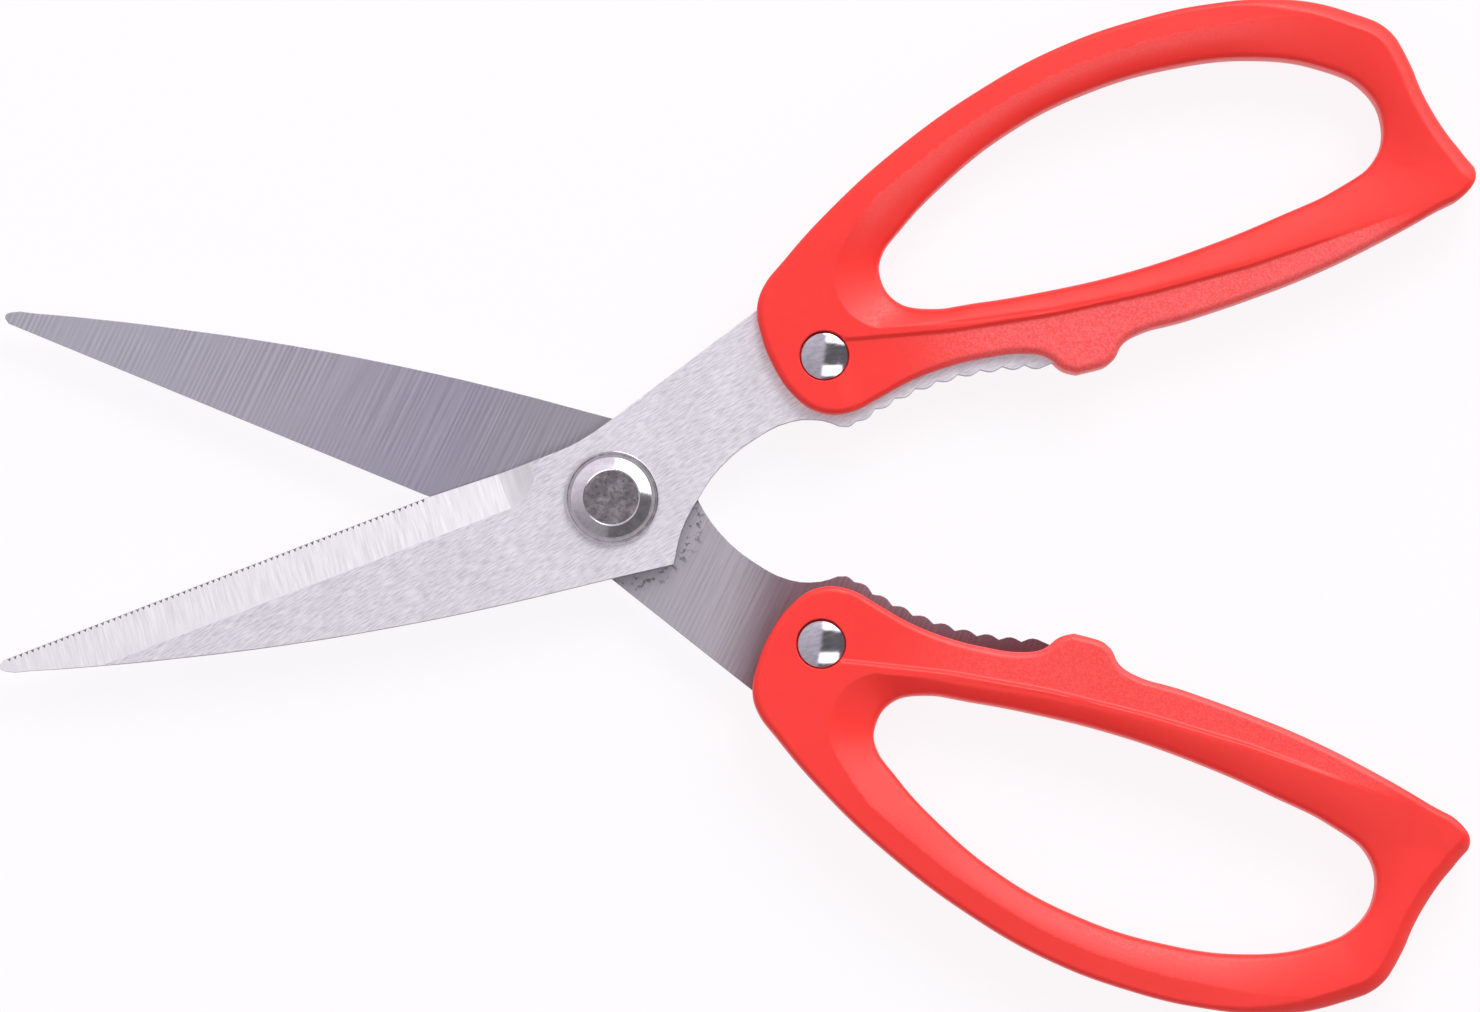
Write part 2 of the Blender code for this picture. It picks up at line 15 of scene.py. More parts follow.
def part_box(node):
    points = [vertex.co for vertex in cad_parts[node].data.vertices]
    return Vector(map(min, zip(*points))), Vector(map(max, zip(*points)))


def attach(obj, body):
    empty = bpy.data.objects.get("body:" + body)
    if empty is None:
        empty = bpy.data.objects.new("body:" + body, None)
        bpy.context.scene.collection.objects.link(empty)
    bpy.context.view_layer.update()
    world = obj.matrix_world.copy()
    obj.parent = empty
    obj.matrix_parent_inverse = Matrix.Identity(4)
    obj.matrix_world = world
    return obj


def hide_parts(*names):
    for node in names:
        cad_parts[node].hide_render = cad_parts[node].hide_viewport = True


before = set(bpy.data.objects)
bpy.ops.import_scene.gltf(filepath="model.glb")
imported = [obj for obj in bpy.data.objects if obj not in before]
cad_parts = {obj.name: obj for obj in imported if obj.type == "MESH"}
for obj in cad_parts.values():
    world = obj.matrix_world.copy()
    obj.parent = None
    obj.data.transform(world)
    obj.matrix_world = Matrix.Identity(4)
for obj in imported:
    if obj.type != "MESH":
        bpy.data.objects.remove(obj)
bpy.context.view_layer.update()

MM = 0.001

# How the two halves stand: each is turned out by half the opening, the rear one turned over
HALF_OPENING = math.radians(15.75)
STACK_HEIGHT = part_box("pivot_stud")[1].z / MM
MID_HEIGHT = STACK_HEIGHT / 2
REAR_TURN = Euler((math.pi, 0, -HALF_OPENING)).to_matrix().to_4x4()
HALF_PLACE = {
    "front": Matrix.Rotation(HALF_OPENING, 4, "Z"),
    "rear": Matrix.Translation((0, 0, STACK_HEIGHT * MM)) @ REAR_TURN,
}

# Photograph's frame: what a pixel spans at mid height, where its centre looks, and how it leans
IMAGE_WIDTH = 1480
PIXEL = 0.1422
VIEW_CENTRE = Vector((18.25, -0.8, MID_HEIGHT))
VIEW_ROLL = math.radians(0.67)
VIEW_LEAN = math.radians(2.6)
CAMERA_DISTANCE = 1600

# Grip faces: rounded rims, outer band, and a slope from a crest into the finger loop
GRIP_HALF = 5.0
WALL_HEIGHT = 3.6
DRAFT = 0.08
OUTLINE_STEP = 0.4
SURFACE_STEP = 0.42
RIM_NOSE = 0.68
RIM_TOP = 0.5
RIM_LOW = 0.78
RIM_END = 2.0
RIM_START = 0.45
RIM_START_LOW = 0.55
BAND_WIDTH = 3.4
BAND_DROP = 0.42
LOOP_DEPTH = 1.45
LOOP_DEPTH_FRONT = 2.4
LOOP_START = 0.42
LOOP_START_FRONT = 0.92
LOOP_RIM = 0.7
RIDGE_WIDE = 1.35
RIDGE_NARROW = 0.4
GROOVE = 0.1
GROOVE_REACH = 0.35
# Pebbles, which also carry a painted sheen: how much the face behind and the top bar get
PEBBLES_BEHIND = 0.5
PEBBLES_ON_BAR = 0.45

# Stretches along the grip, in X, where its features come in or run out
BAND_IN = (34, 58)
BAND_OUT = (98, 118)
SCOOP_BACK = 47
SCOOP_OUT = (42, 56)
RIDGE_TAPER = (36, 84)
GROOVE_IN = (46, 56)
GROOVE_OUT = (94, 106)
LAND_IN = (35, 38)
LAND_OUT = (92, 118)
LOW_RIM_IN = (40, 56)
TOP_RIM_IN = (30, 44)
END_RIM_IN = (100, 120)
CRISP_IN = (36, 48)
# Pebbled stretches, which also take the painted sheen
PEBBLED_LAND_IN = (42, 60)
PEBBLED_LAND_OUT = (112, 122)
PEBBLED_BAR_IN = (40, 48)
PEBBLED_BAR_OUT = (96, 116)

# How far over the crease, in Y, they come in or run out, and the share of the slope's way up
BAND_OVER = (4, 14)
GROOVE_UNDER = (2, 3)
TOP_RIM_OVER = (2, 10)
LAND_OVER = (0, 3)
PEBBLED_UNDER = (-0.4, 0)
PEBBLED_OVER = (8, 14)
PEBBLED_SLOPE = (0.3, 0.8)

# Crease between the loop and the low land: its points, and how finely it is rounded between them
LAND_STEP = 0.46
LAND_FALL = 0.003
CREASE_RUN = 0.36
CREASE_SAMPLES = 400
CREASE_WINDOW = 25
CREASE = [
    (36.0, 13.5),
    (38.3, 12.9),
    (44.7, 11.75),
    (52.7, 10.3),
    (67.0, 8.75),
    (81.6, 8.1),
    (96.4, 8.15),
    (111.4, 9.15),
    (123.1, 10.2),
    (131.0, 10.9),
]

# Crest round the finger loop: where it runs over the crease, which points of the outline it is
# taken from, and its points round the scoop at the loop's front
CREST_REACH = (44.0, 126.0)
CREST_STEP = 2.0
CREST_SKIP = 5
CREST_OVER_CREASE = 3
SCOOP = [
    (44.2, 28.9),
    (41.5, 26.7),
    (39.6, 24.6),
    (38.6, 22.2),
    (38.4, 19.7),
    (39.1, 17.0),
    (40.7, 14.8),
    (42.9, 13.3),
]

# Rows of points in the grip's face: by the crease, in parts of its run, by the crest, and in rings
# by the walls; and how far other points keep clear of them
CREASE_REACH = (38.0, 127.0)
CREASE_ROWS = (-1.4, -1.0, -0.6, -0.2, 0.2, 0.6, 1.0, 1.4)
CREASE_CLEAR = 1.5
CREST_ROWS = (-0.36, -0.18, 0, 0.18, 0.36)
CREST_CLEAR = 0.5
OUTER_RINGS = (0.1, 0.2, 0.35, 0.55, 0.8, 1.1)
OUTER_CLEAR = 1.35
HOLE_RINGS = (0.1, 0.2, 0.35, 0.6, 0.95)
HOLE_CLEAR = 1.2
RING_FIT = 0.97

# Grip rivet: domed post, domed cap with a pin, and the recess that each head sits in
RIVET_CENTRE = Vector((34.4, 11.55, 0))
DOME_RADIUS = 3.3
DOME_TOP = 9.95
DOME_BASE = 8.8
DOME_RIM = 0.62
RIVET_SHANK = 2.1
RIVET_BORE = 1.3
RIVET_PIN = 1.0
RIVET_CROWN = 0.5
RECESS_RADIUS = 3.55
RECESS_FLOOR = 8.5
RECESS_FLARE = 0.14
SHANK_HOLE = 2.4

# Pivot: peened heads and the washers under them, with fillets by the number of a profile's corner
PIVOT_RADIUS = 3.0
HEAD_RADIUS = 5.75
HEAD_FLAT = 4.05
HEAD_BOTTOM = 8.5
HEAD_RIM = 0.4
LIP_WIDTH = 0.18
LIP_DEPTH = 0.06
HEAD_FILLETS = {2: 0.1, 3: 0.08}
WASHER_BORE = 3.3
WASHER_RADIUS = 6.7
WASHER_BOTTOM = 7.75
WASHER_TOP = 8.2
WASHER_GROOVE = 6.26
GROOVE_DEPTH = 0.09
WASHER_FILLETS = {1: 0.1, 2: 0.1}
PEEN_DEPTH = 0.05
PEEN_FADE = 0.5
PEEN_GRAIN = 0.9
PEEN_RINGS = 20

# Blade, its inner face, and the serration along the front cutting edge
BLADE_BOTTOM = 5.15
BLADE_TOP = 7.45
SHANK_START = -10
FACE_TIP = -90
FACE_END = 60
BROKEN_EDGE = 0.06
SLOT_CLEARANCE = 0.05
EDGE_HEIGHT = BLADE_BOTTOM + 0.17
EDGE_HEEL = Vector((-26.0, 6.93, EDGE_HEIGHT))
EDGE_TIP = Vector((-88.6, 0.38, EDGE_HEIGHT))
NOTCH_PITCH = 0.883
NOTCH_WIDTH = 0.31
NOTCH_DEPTH = 0.14
NOTCH_LEAN = math.radians(40)

# Turned pieces
TURN_STEPS = 96
FILLET_STEPS = 4
DOME_STEPS = 24

# Points closer than this are one point, in metres, or in millimetres in a plan; points closer to
# a cut lie on it, in metres; and no length is divided by less, in millimetres
MERGE = 1e-6
SAME_POINT = 1e-5
ON_CUT = 1e-7
TINY = 0.001

# Angle between faces up to which they are one face, and from which their edge is sharp, on a
# blade and elsewhere
FLAT_ANGLE = math.radians(0.5)
SHARP_GROUND_EDGE = math.radians(12)
SHARP_EDGE = math.radians(35)

# Angle that a loop turns by at a point: up to this on a straight run, and from these at a corner of
# an outline and of the crest; and pieces of its curve to a step
STRAIGHT_TURN = 0.002
SHARP_TURN = math.radians(24)
CREST_TURN = math.radians(70)
STEP_PIECES = 4

# Points whose distances are worked out at once, to spare memory
BLOCK = 2000

# Shader inputs that every steel has
STEEL = {"Metallic": 1.0}

# Setting of a smooth Map Range. Its inputs by number: 0 is the value, 1 and 2 its range, 3 and 4
# the range it goes to. Mix's: 0 is the share of the second of two numbers, 2 and 3, or of two
# colours, 6 and 7
SMOOTH = {"interpolation_type": "SMOOTHSTEP"}

# Range that most of a noise lies in, and the scale at which a wave's bands are one unit apart
NOISE_RANGE = {1: 0.35, 2: 0.65}
WAVE_SCALE = 0.314

# Studio, in metres but for the paper's level under the scissors, in millimetres
FLOOR_REACH = 8.0
FLOOR_LEVEL = -0.05
VIEW_DEPTH = 30


def linear(hex_colour):
    """Linear RGBA of an sRGB hex colour."""
    parts = [int(hex_colour[i : i + 2], 16) / 255 for i in (1, 3, 5)]
    return (*[p / 12.92 if p <= 0.04045 else ((p + 0.055) / 1.055) ** 2.4 for p in parts], 1.0)


def fill(tree, node, inputs):
    """Sets a node's inputs to values, or links them from sockets or from whole nodes."""
    for name, value in inputs.items():
        if isinstance(value, bpy.types.Node):
            value = next(socket for socket in value.outputs if socket.enabled)
        if isinstance(value, bpy.types.NodeSocket):
            tree.links.new(value, node.inputs[name])
        else:
            node.inputs[name].default_value = value


def add_node(tree, kind, inputs=None, stops=(), **settings):
    """Adds a node with settings and inputs, and with a ramp's stops as (position, hex colour)."""
    node = tree.nodes.new(kind)
    for name, value in settings.items():
        setattr(node, name, value)
    fill(tree, node, inputs or {})
    if stops:
        elements = node.color_ramp.elements
        while len(elements) < len(stops):
            elements.new(0.5)
        for element, (position, colour) in zip(elements, stops):
            element.position = position
            element.color = linear(colour)
    return node


def new_tree(name):
    """Material with an empty node tree, as (material, tree)."""
    material = bpy.data.materials.new(name)
    material.use_nodes = True
    material.node_tree.nodes.clear()
    return material, material.node_tree


def new_surface(name, constants):
    """Material with one Principled shader and its constant inputs, as (material, tree, shader)."""
    material, tree = new_tree(name)
    shader = add_node(tree, "ShaderNodeBsdfPrincipled", constants)
    add_node(tree, "ShaderNodeOutputMaterial", {"Surface": shader})
    return material, tree, shader


def set_look(tree, shader, colour, rough=None, relief=None):
    """Gives a shader its colour, and a roughness and a relief where a pattern makes them, by the
    inputs of a smooth Map Range and of a Bump."""
    fill(tree, shader, {"Base Color": colour})
    if rough:
        value = add_node(tree, "ShaderNodeMapRange", rough, **SMOOTH)
        fill(tree, shader, {"Roughness": value})
    if relief:
        fill(tree, shader, {"Normal": add_node(tree, "ShaderNodeBump", relief)})


def grain(tree, length, width=None, angle=0.0, detail=3.0, seed=0.0):
    """Noise in round grains of a length in millimetres, or in streaks that have a width too, lie at
    an angle in degrees to +X, and run straight through the piece."""
    inputs = {
        "Vector": add_node(tree, "ShaderNodeTexCoord").outputs["Object"],
        "Location": (seed, seed, 0),
        "Rotation": (0, 0, math.radians(angle)),
        "Scale": (length * MM, width * MM, 1) if width else [length * MM] * 3,
    }
    place = add_node(tree, "ShaderNodeMapping", inputs, vector_type="TEXTURE")
    inputs = {"Vector": place, "Scale": 1.0, "Detail": detail, "Roughness": 0.6}
    return add_node(tree, "ShaderNodeTexNoise", inputs)


def overlap(tree, masks):
    """Product of masks, each given as the inputs of a smooth Map Range."""
    product = 1.0
    for mask in masks:
        share = add_node(tree, "ShaderNodeMapRange", mask, **SMOOTH)
        product = add_node(tree, "ShaderNodeMath", {0: product, 1: share}, operation="MULTIPLY")
    return product


def sanded_steel(side):
    # Belt-sanded stainless steel: pale satin, with short slanting scratches, light and dark. They
    # are drawn 0.1 to 0.2 mm wide, coarser than the grit leaves them, so that they show
    material, tree, shader = new_surface("belt sanded stainless steel " + side, STEEL)
    angle = 32 if side == "front" else -32
    coarse = grain(tree, 1.9, 0.19, angle, detail=2.0)
    fine = grain(tree, 0.9, 0.09, angle + 5, detail=2.0, seed=0.37)
    scratches = add_node(tree, "ShaderNodeMix", {0: 0.3, 2: coarse, 3: fine})
    stops = [(0.4, "#D8D5DC"), (0.5, "#EFECF3"), (0.6, "#FCFAFF")]
    metal = add_node(tree, "ShaderNodeValToRGB", {"Fac": scratches}, stops)
    stops = [(0.4, "#E0DDE1"), (0.6, "#F2EFF8")]
    tint = add_node(tree, "ShaderNodeValToRGB", {"Fac": grain(tree, 7.0)}, stops)
    satin = {0: scratches, **NOISE_RANGE, 3: 0.42, 4: 0.54}
    relief = {"Strength": 0.5, "Distance": 0.02 * MM, "Height": scratches}
    colour = add_node(tree, "ShaderNodeMix", {0: 0.25, 6: metal, 7: tint}, data_type="RGBA")
    set_look(tree, shader, colour, satin, relief)
    return material


def bevel_steel(side):
    # Wheel-ground cutting bevel: brighter than the flat, with soft marks across the edge. The finer
    # marks are drawn 0.16 mm wide, coarser than the wheel leaves them, so that they show
    material, tree, shader = new_surface("wheel ground stainless steel " + side, STEEL)
    angle = 107 if side == "front" else -107
    soft = grain(tree, 9.0, 1.1, angle, detail=1.0)
    fine = grain(tree, 5.0, 0.16, angle, seed=0.21)
    marks = add_node(tree, "ShaderNodeMix", {0: 0.5, 2: soft, 3: fine})
    stops = [(0.4, "#E5E4E6"), (0.6, "#ECEBED")]
    satin = {0: fine, **NOISE_RANGE, 3: 0.3, 4: 0.42}
    relief = {"Strength": 0.06, "Distance": 0.01 * MM, "Height": marks}
    colour = add_node(tree, "ShaderNodeValToRGB", {"Fac": marks}, stops)
    set_look(tree, shader, colour, satin, relief)
    return material


def ground_lines(tree, place, side):
    """Close parallel lines across a blade's inner face, mostly worn down to finer streaks, as
    (marks, streaks)."""
    turn = -1 if side == "front" else 1
    inputs = {
        "Vector": place,
        "Rotation": (0, 0, math.radians(65 * turn)),
        "Scale": (30 * MM, 0.72 * MM, 1),
    }
    across = add_node(tree, "ShaderNodeMapping", inputs, vector_type="TEXTURE")
    inputs = {
        "Vector": across,
        "Scale": WAVE_SCALE,
        "Distortion": 9.0,
        "Detail": 3.0,
        "Detail Scale": 0.7,
    }
    lines = add_node(tree, "ShaderNodeTexWave", inputs, wave_type="BANDS", bands_direction="Y")
    fine = grain(tree, 20, 0.16, 64 * turn, seed=0.53)
    inputs = {0: grain(tree, 9.0, detail=2.0), **NOISE_RANGE, 3: 0.6, 4: 0.95}
    worn = add_node(tree, "ShaderNodeMapRange", inputs, **SMOOTH)
    marks = add_node(tree, "ShaderNodeMix", {0: worn, 2: lines.outputs["Fac"], 3: fine})
    return marks, fine


def share_along(tree, place, side):
    """Share of the way along a half, from the tip past the pivot to under the grip."""
    turn = HALF_OPENING if side == "front" else -HALF_OPENING
    inputs = {0: place, 1: (math.cos(turn), math.sin(turn), 0)}
    along = add_node(tree, "ShaderNodeVectorMath", inputs, operation="DOT_PRODUCT").outputs["Value"]
    return add_node(tree, "ShaderNodeMapRange", {0: along, 1: FACE_TIP * MM, 2: FACE_END * MM})


def rub_marks(tree, place, along):
    """Smudges on the shank where the other half's boss rubs, in a ring round the pivot."""
    inputs = {0: place, 1: (0, 0, MID_HEIGHT * MM)}
    reach = add_node(tree, "ShaderNodeVectorMath", inputs, operation="DISTANCE").outputs["Value"]
    masks = [
        {0: reach, 1: 11 * MM, 2: 12 * MM, 3: 0.0, 4: 1.0},
        {0: reach, 1: 12.5 * MM, 2: 15 * MM, 3: 1.0, 4: 0.0},
        {0: along, 1: 0.598, 2: 0.607, 3: 0.0, 4: 1.0},
        {0: grain(tree, 1.0, detail=5.0), 1: 0.53, 2: 0.64, 3: 0.0, 4: 0.7},
    ]
    return overlap(tree, masks)


def inner_face_steel(side):
    # Surface-ground inner face: lavender grey, with close parallel lines across the blade, and
    # smudged where the other half rubs on it. Its colour along the half is painted light: lighter
    # and darker as a painted reflection, darker about the pivot as painted shade from the other
    # blade, and dark red from the grip's nose on, as painted shade under the grip and a painted
    # reflection of its red plastic. The lines are drawn 0.72 mm apart, coarser than the wheel
    # leaves them, so that they show
    material, tree, shader = new_surface("surface ground stainless steel " + side, STEEL)
    place = add_node(tree, "ShaderNodeTexCoord").outputs["Object"]
    marks, fine = ground_lines(tree, place, side)
    along = share_along(tree, place, side)
    # Painted light along the half: a painted reflection from tip to shank, painted shade about the
    # pivot, and painted shade with a painted red reflection from the grip's nose on
    stops = [
        (0.087, "#C9C7D1"),
        (0.26, "#C3C0CC"),
        (0.433, "#B4B1C0"),
        (0.589, "#B3B0B6"),
        (0.676, "#CBC7CF"),
        (0.734, "#CBC5CC"),
        (0.776, "#96838A"),
        (0.867, "#9E838B"),
        (1.0, "#80585F"),
    ]
    metal = add_node(tree, "ShaderNodeValToRGB", {"Fac": along}, stops)
    stops = [(0.3, "#E4E3E6"), (0.7, "#FFFFFF")]
    shade = add_node(tree, "ShaderNodeValToRGB", {"Fac": marks}, stops)
    inputs = {0: 1.0, 6: metal, 7: shade}
    metal = add_node(tree, "ShaderNodeMix", inputs, data_type="RGBA", blend_type="MULTIPLY")
    smudged = {0: rub_marks(tree, place, along), 6: metal, 7: linear("#4A4244")}
    satin = {0: fine, **NOISE_RANGE, 3: 0.4, 4: 0.5}
    relief = {"Strength": 0.25, "Distance": 0.012 * MM, "Height": marks}
    colour = add_node(tree, "ShaderNodeMix", smudged, data_type="RGBA")
    set_look(tree, shader, colour, satin, relief)
    return material


def sheared_steel_with_painted_shade():
    # Sheared side of the stamping: dull grey, torn by the die. Its grey is drawn dark as painted
    # shade, so that the blade's walls, broken edges and serration notches show as dark outlines
    material, tree, shader = new_surface("sheared stainless steel", {**STEEL, "Roughness": 0.48})
    torn = grain(tree, 0.5, detail=4.0)
    stops = [(0.35, "#77727C"), (0.65, "#A8A3AD")]
    relief = {"Strength": 0.4, "Distance": 0.03 * MM, "Height": torn}
    colour = add_node(tree, "ShaderNodeValToRGB", {"Fac": torn}, stops)
    set_look(tree, shader, colour, relief=relief)
    return material


def polished_steel():
    # Polished rivet steel: near mirror, clouded by light wear
    material, tree, shader = new_surface("polished steel", STEEL)
    wear = grain(tree, 1.4, 0.5, 20, detail=4.0)
    stops = [(0.4, "#C9C5D0"), (0.6, "#D9D6E0")]
    gloss = {0: wear, **NOISE_RANGE, 3: 0.06, 4: 0.14}
    colour = add_node(tree, "ShaderNodeValToRGB", {"Fac": wear}, stops)
    set_look(tree, shader, colour, gloss)
    return material


def turned_steel():
    # Lathe-turned steel of the pivot head and washers: bright, with faint rings. At this scale they
    # are 0.28 mm apart, coarser than the tool leaves them, so that they show
    material, tree, shader = new_surface("turned steel", STEEL)
    place = add_node(tree, "ShaderNodeTexCoord").outputs["Object"]
    inputs = {"Vector": place, "Scale": 1 / (0.9 * MM), "Distortion": 0.6}
    rings = add_node(tree, "ShaderNodeTexWave", inputs, wave_type="RINGS", rings_direction="Z")
    wear = grain(tree, 1.2)
    stops = [(0.36, "#DAD5DC"), (0.6, "#E6E2E8")]
    gloss = {0: wear, **NOISE_RANGE, 3: 0.14, 4: 0.19}
    relief = {"Strength": 0.04, "Distance": 0.004 * MM, "Height": rings.outputs["Fac"]}
    colour = add_node(tree, "ShaderNodeValToRGB", {"Fac": wear}, stops)
    set_look(tree, shader, colour, gloss, relief)
    return material


def peened_steel():
    # Hammered end of the pivot: dull, mottled and pitted
    material, tree, shader = new_surface("peened steel", {**STEEL, "Roughness": 0.4})
    mottle = grain(tree, 1.3, detail=4.0)
    fill(tree, mottle, {"Distortion": 0.5})
    stops = [(0.36, "#7A7378"), (0.5, "#8F888E"), (0.64, "#A8A2A8")]
    metal = add_node(tree, "ShaderNodeValToRGB", {"Fac": mottle}, stops)
    inputs = {0: grain(tree, 0.5, detail=1.0), 1: 0.62, 2: 0.7, 3: 0.0, 4: 0.5}
    pits = add_node(tree, "ShaderNodeMapRange", inputs, **SMOOTH)
    pitted = {0: pits, 6: metal, 7: linear("#3F3A3D")}
    relief = {"Strength": 0.8, "Distance": 0.06 * MM, "Height": mottle}
    colour = add_node(tree, "ShaderNodeMix", pitted, data_type="RGBA")
    set_look(tree, shader, colour, relief=relief)
    return material


def red_plastic():
    # Injection-moulded polypropylene: plain satin red, with pebbles where the spark-eroded mould
    # left them, drawn about 0.3 mm across so that they show. Where pebbled it is also drawn paler
    # pink in specks, a painted highlight for the sheen that the pebbles catch
    material, tree, shader = new_surface("moulded red polypropylene", {"IOR": 1.49})
    share = add_node(tree, "ShaderNodeAttribute", attribute_name="pebbles_and_painted_sheen").outputs["Fac"]
    pebbles = grain(tree, 0.3, detail=2.0)
    stops = [(0.35, "#FC322B"), (0.65, "#FF362F")]
    red = add_node(tree, "ShaderNodeValToRGB", {"Fac": grain(tree, 16)}, stops)
    inputs = {0: pebbles, 1: 0.38, 2: 0.62, 3: 0.22, 4: 0.5}
    painted_sheen_specks = add_node(tree, "ShaderNodeMapRange", inputs, **SMOOTH)
    # Painted highlight: specks of pale pink where the face is pebbled, for the sheen that the
    # pebbles catch
    pale = add_node(tree, "ShaderNodeMath", {0: share, 1: painted_sheen_specks}, operation="MULTIPLY")
    pebbled = {0: pale, 6: red, 7: linear("#FF8888")}
    satin = {0: pebbles, **NOISE_RANGE, 3: 0.36, 4: 0.5}
    inputs = {0: share, 1: 0.0, 2: 1.0, 3: 0.2, 4: 0.9}
    strength = add_node(tree, "ShaderNodeMapRange", inputs, **SMOOTH)
    relief = {"Strength": strength, "Distance": 0.06 * MM, "Height": pebbles}
    colour = add_node(tree, "ShaderNodeMix", pebbled, data_type="RGBA")
    set_look(tree, shader, colour, satin, relief)
    return material


def half_solid(node):
    """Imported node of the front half, welded and turned back into the half's own frame."""
    solid = bmesh.new()
    solid.from_mesh(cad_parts[node].data)
    bmesh.ops.remove_doubles(solid, verts=solid.verts, dist=MERGE)
    bmesh.ops.transform(solid, matrix=HALF_PLACE["front"].inverted(), verts=solid.verts)
    return solid


def mesh_of(solid, name):
    """Mesh of a solid with its faces turned outwards; the solid is freed."""
    bmesh.ops.recalc_face_normals(solid, faces=solid.faces)
    mesh = bpy.data.meshes.new(name)
    solid.to_mesh(mesh)
    solid.free()
    return mesh


def loop_length(loop):
    return float(np.linalg.norm(loop - np.roll(loop, 1, axis=0), axis=1).sum())


def loop_area(loop):
    """Area inside a closed loop, negative where the loop runs clockwise."""
    x, y = loop.T
    return float((x * np.roll(y, -1) - np.roll(x, -1) * y).sum() / 2)


def section_loops(node, height):
    """Closed loops of x and y in millimetres where a front node is cut at a height, longest first,
    each running anticlockwise from its leftmost point."""
    solid = half_solid(node)
    everything = solid.verts[:] + solid.edges[:] + solid.faces[:]
    plane = {"plane_co": (0, 0, height * MM), "plane_no": (0, 0, 1)}
    cut = bmesh.ops.bisect_plane(solid, geom=everything, dist=ON_CUT, **plane)
    edges = {item for item in cut["geom_cut"] if isinstance(item, bmesh.types.BMEdge)}
    loops = []
    while edges:
        edge = edges.pop()
        ring = [edge.verts[0]]
        vertex = edge.verts[1]
        while vertex is not ring[0]:
            ring.append(vertex)
            edge = next(near for near in vertex.link_edges if near in edges)
            edges.discard(edge)
            vertex = edge.other_vert(vertex)
        loop = np.array([(v.co.x, v.co.y) for v in ring]) / MM
        if loop_area(loop) < 0:
            loop = loop[::-1]
        loops.append(np.roll(loop, -loop[:, 0].argmin(), axis=0))
    solid.free()
    return sorted(loops, key=loop_length, reverse=True)


def turn_angles(loop):
    """Angle that a loop turns by at each of its points."""
    before = loop - np.roll(loop, 1, axis=0)
    after = np.roll(loop, -1, axis=0) - loop
    cross = before[:, 0] * after[:, 1] - before[:, 1] * after[:, 0]
    return np.arctan2(cross, (before * after).sum(1))


def smooth_loop(loop, step, corner=SHARP_TURN):
    """Closed curve through a loop's points, divided evenly, with its sharp corners kept."""
    points = loop[np.abs(turn_angles(loop)) > STRAIGHT_TURN]
    is_sharp = np.abs(turn_angles(points)) > corner
    count = len(points)
    dense = []
    for index in range(count):
        start, end = points[index], points[(index + 1) % count]
        before = 2 * start - end if is_sharp[index] else points[index - 1]
        after = 2 * end - start if is_sharp[(index + 1) % count] else points[(index + 2) % count]
        t1 = math.sqrt(np.linalg.norm(start - before))
        t2 = t1 + math.sqrt(np.linalg.norm(end - start))
        t3 = t2 + math.sqrt(np.linalg.norm(after - end))
        pieces = max(2, int(np.linalg.norm(end - start) / step * STEP_PIECES))
        for t in t1 + (t2 - t1) * np.arange(pieces) / pieces:
            a1 = before + (start - before) * t / t1
            a2 = start + (end - start) * (t - t1) / (t2 - t1)
            a3 = end + (after - end) * (t - t2) / (t3 - t2)
            b1 = a1 + (a2 - a1) * t / t2
            b2 = a2 + (a3 - a2) * (t - t1) / (t3 - t1)
            dense.append(b1 + (b2 - b1) * (t - t1) / (t2 - t1))
    closed = np.vstack([dense, dense[:1]])
    along = np.concatenate([[0], np.cumsum(np.linalg.norm(np.diff(closed, axis=0), axis=1))])
    places = np.linspace(0, along[-1], int(along[-1] / step), endpoint=False)
    return np.column_stack([np.interp(places, along, closed[:, axis]) for axis in (0, 1)])


def is_inside(loop, points):
    """Whether each point lies inside a closed loop."""
    inside = np.zeros(len(points), bool)
    for (x1, y1), (x2, y2) in zip(loop, np.roll(loop, -1, axis=0)):
        if y1 == y2:
            continue
        crosses = (y1 > points[:, 1]) != (y2 > points[:, 1])
        inside ^= crosses & (points[:, 0] < x1 + (points[:, 1] - y1) / (y2 - y1) * (x2 - x1))
    return inside


def distance_to(loop, points):
    """Distance from each point to a closed loop."""
    run = np.roll(loop, -1, axis=0) - loop
    size = (run * run).sum(1)
    nearest = np.empty(len(points))
    for first in range(0, len(points), BLOCK):
        block = points[first : first + BLOCK, None, :] - loop[None]
        share = np.clip((block * run).sum(2) / size, 0, 1)
        gap = block - share[..., None] * run
        nearest[first : first + BLOCK] = np.sqrt((gap * gap).sum(2).min(1))
    return nearest


def offset_loop(loop, distance):
    """Loop moved outwards by a distance, or by one for each point; inwards where it is negative."""
    tangent = np.roll(loop, -1, axis=0) - np.roll(loop, 1, axis=0)
    tangent /= np.linalg.norm(tangent, axis=1)[:, None]
    outwards = math.copysign(1, loop_area(loop)) * np.column_stack([tangent[:, 1], -tangent[:, 0]])
    return loop + outwards * np.reshape(distance, (-1, 1))


def step_up(value, low, high):
    """Smooth step from 0 at low to 1 at high."""
    share = np.clip((value - low) / (high - low), 0, 1)
    return share * share * (3 - 2 * share)


def round_off(share, start):
    """Fall from 0 at a share of 1 to 1 at a share of 0, steepening, and starting at a slope."""
    near = np.clip(1 - share, 0, 1)
    return start * near + (1 - start) * (1 - np.sqrt(1 - near * near))


def crease_height(x):
    """Height of the crease at a place along the grip, rounded between its points."""
    places, heights = np.array(CREASE).T
    fine = np.linspace(places[0], places[-1], CREASE_SAMPLES)
    window = np.hanning(CREASE_WINDOW + 2)[1:-1]
    padded = np.pad(np.interp(fine, places, heights), CREASE_WINDOW // 2, "edge")
    return np.interp(x, fine, np.convolve(padded, window / window.sum(), "valid"))


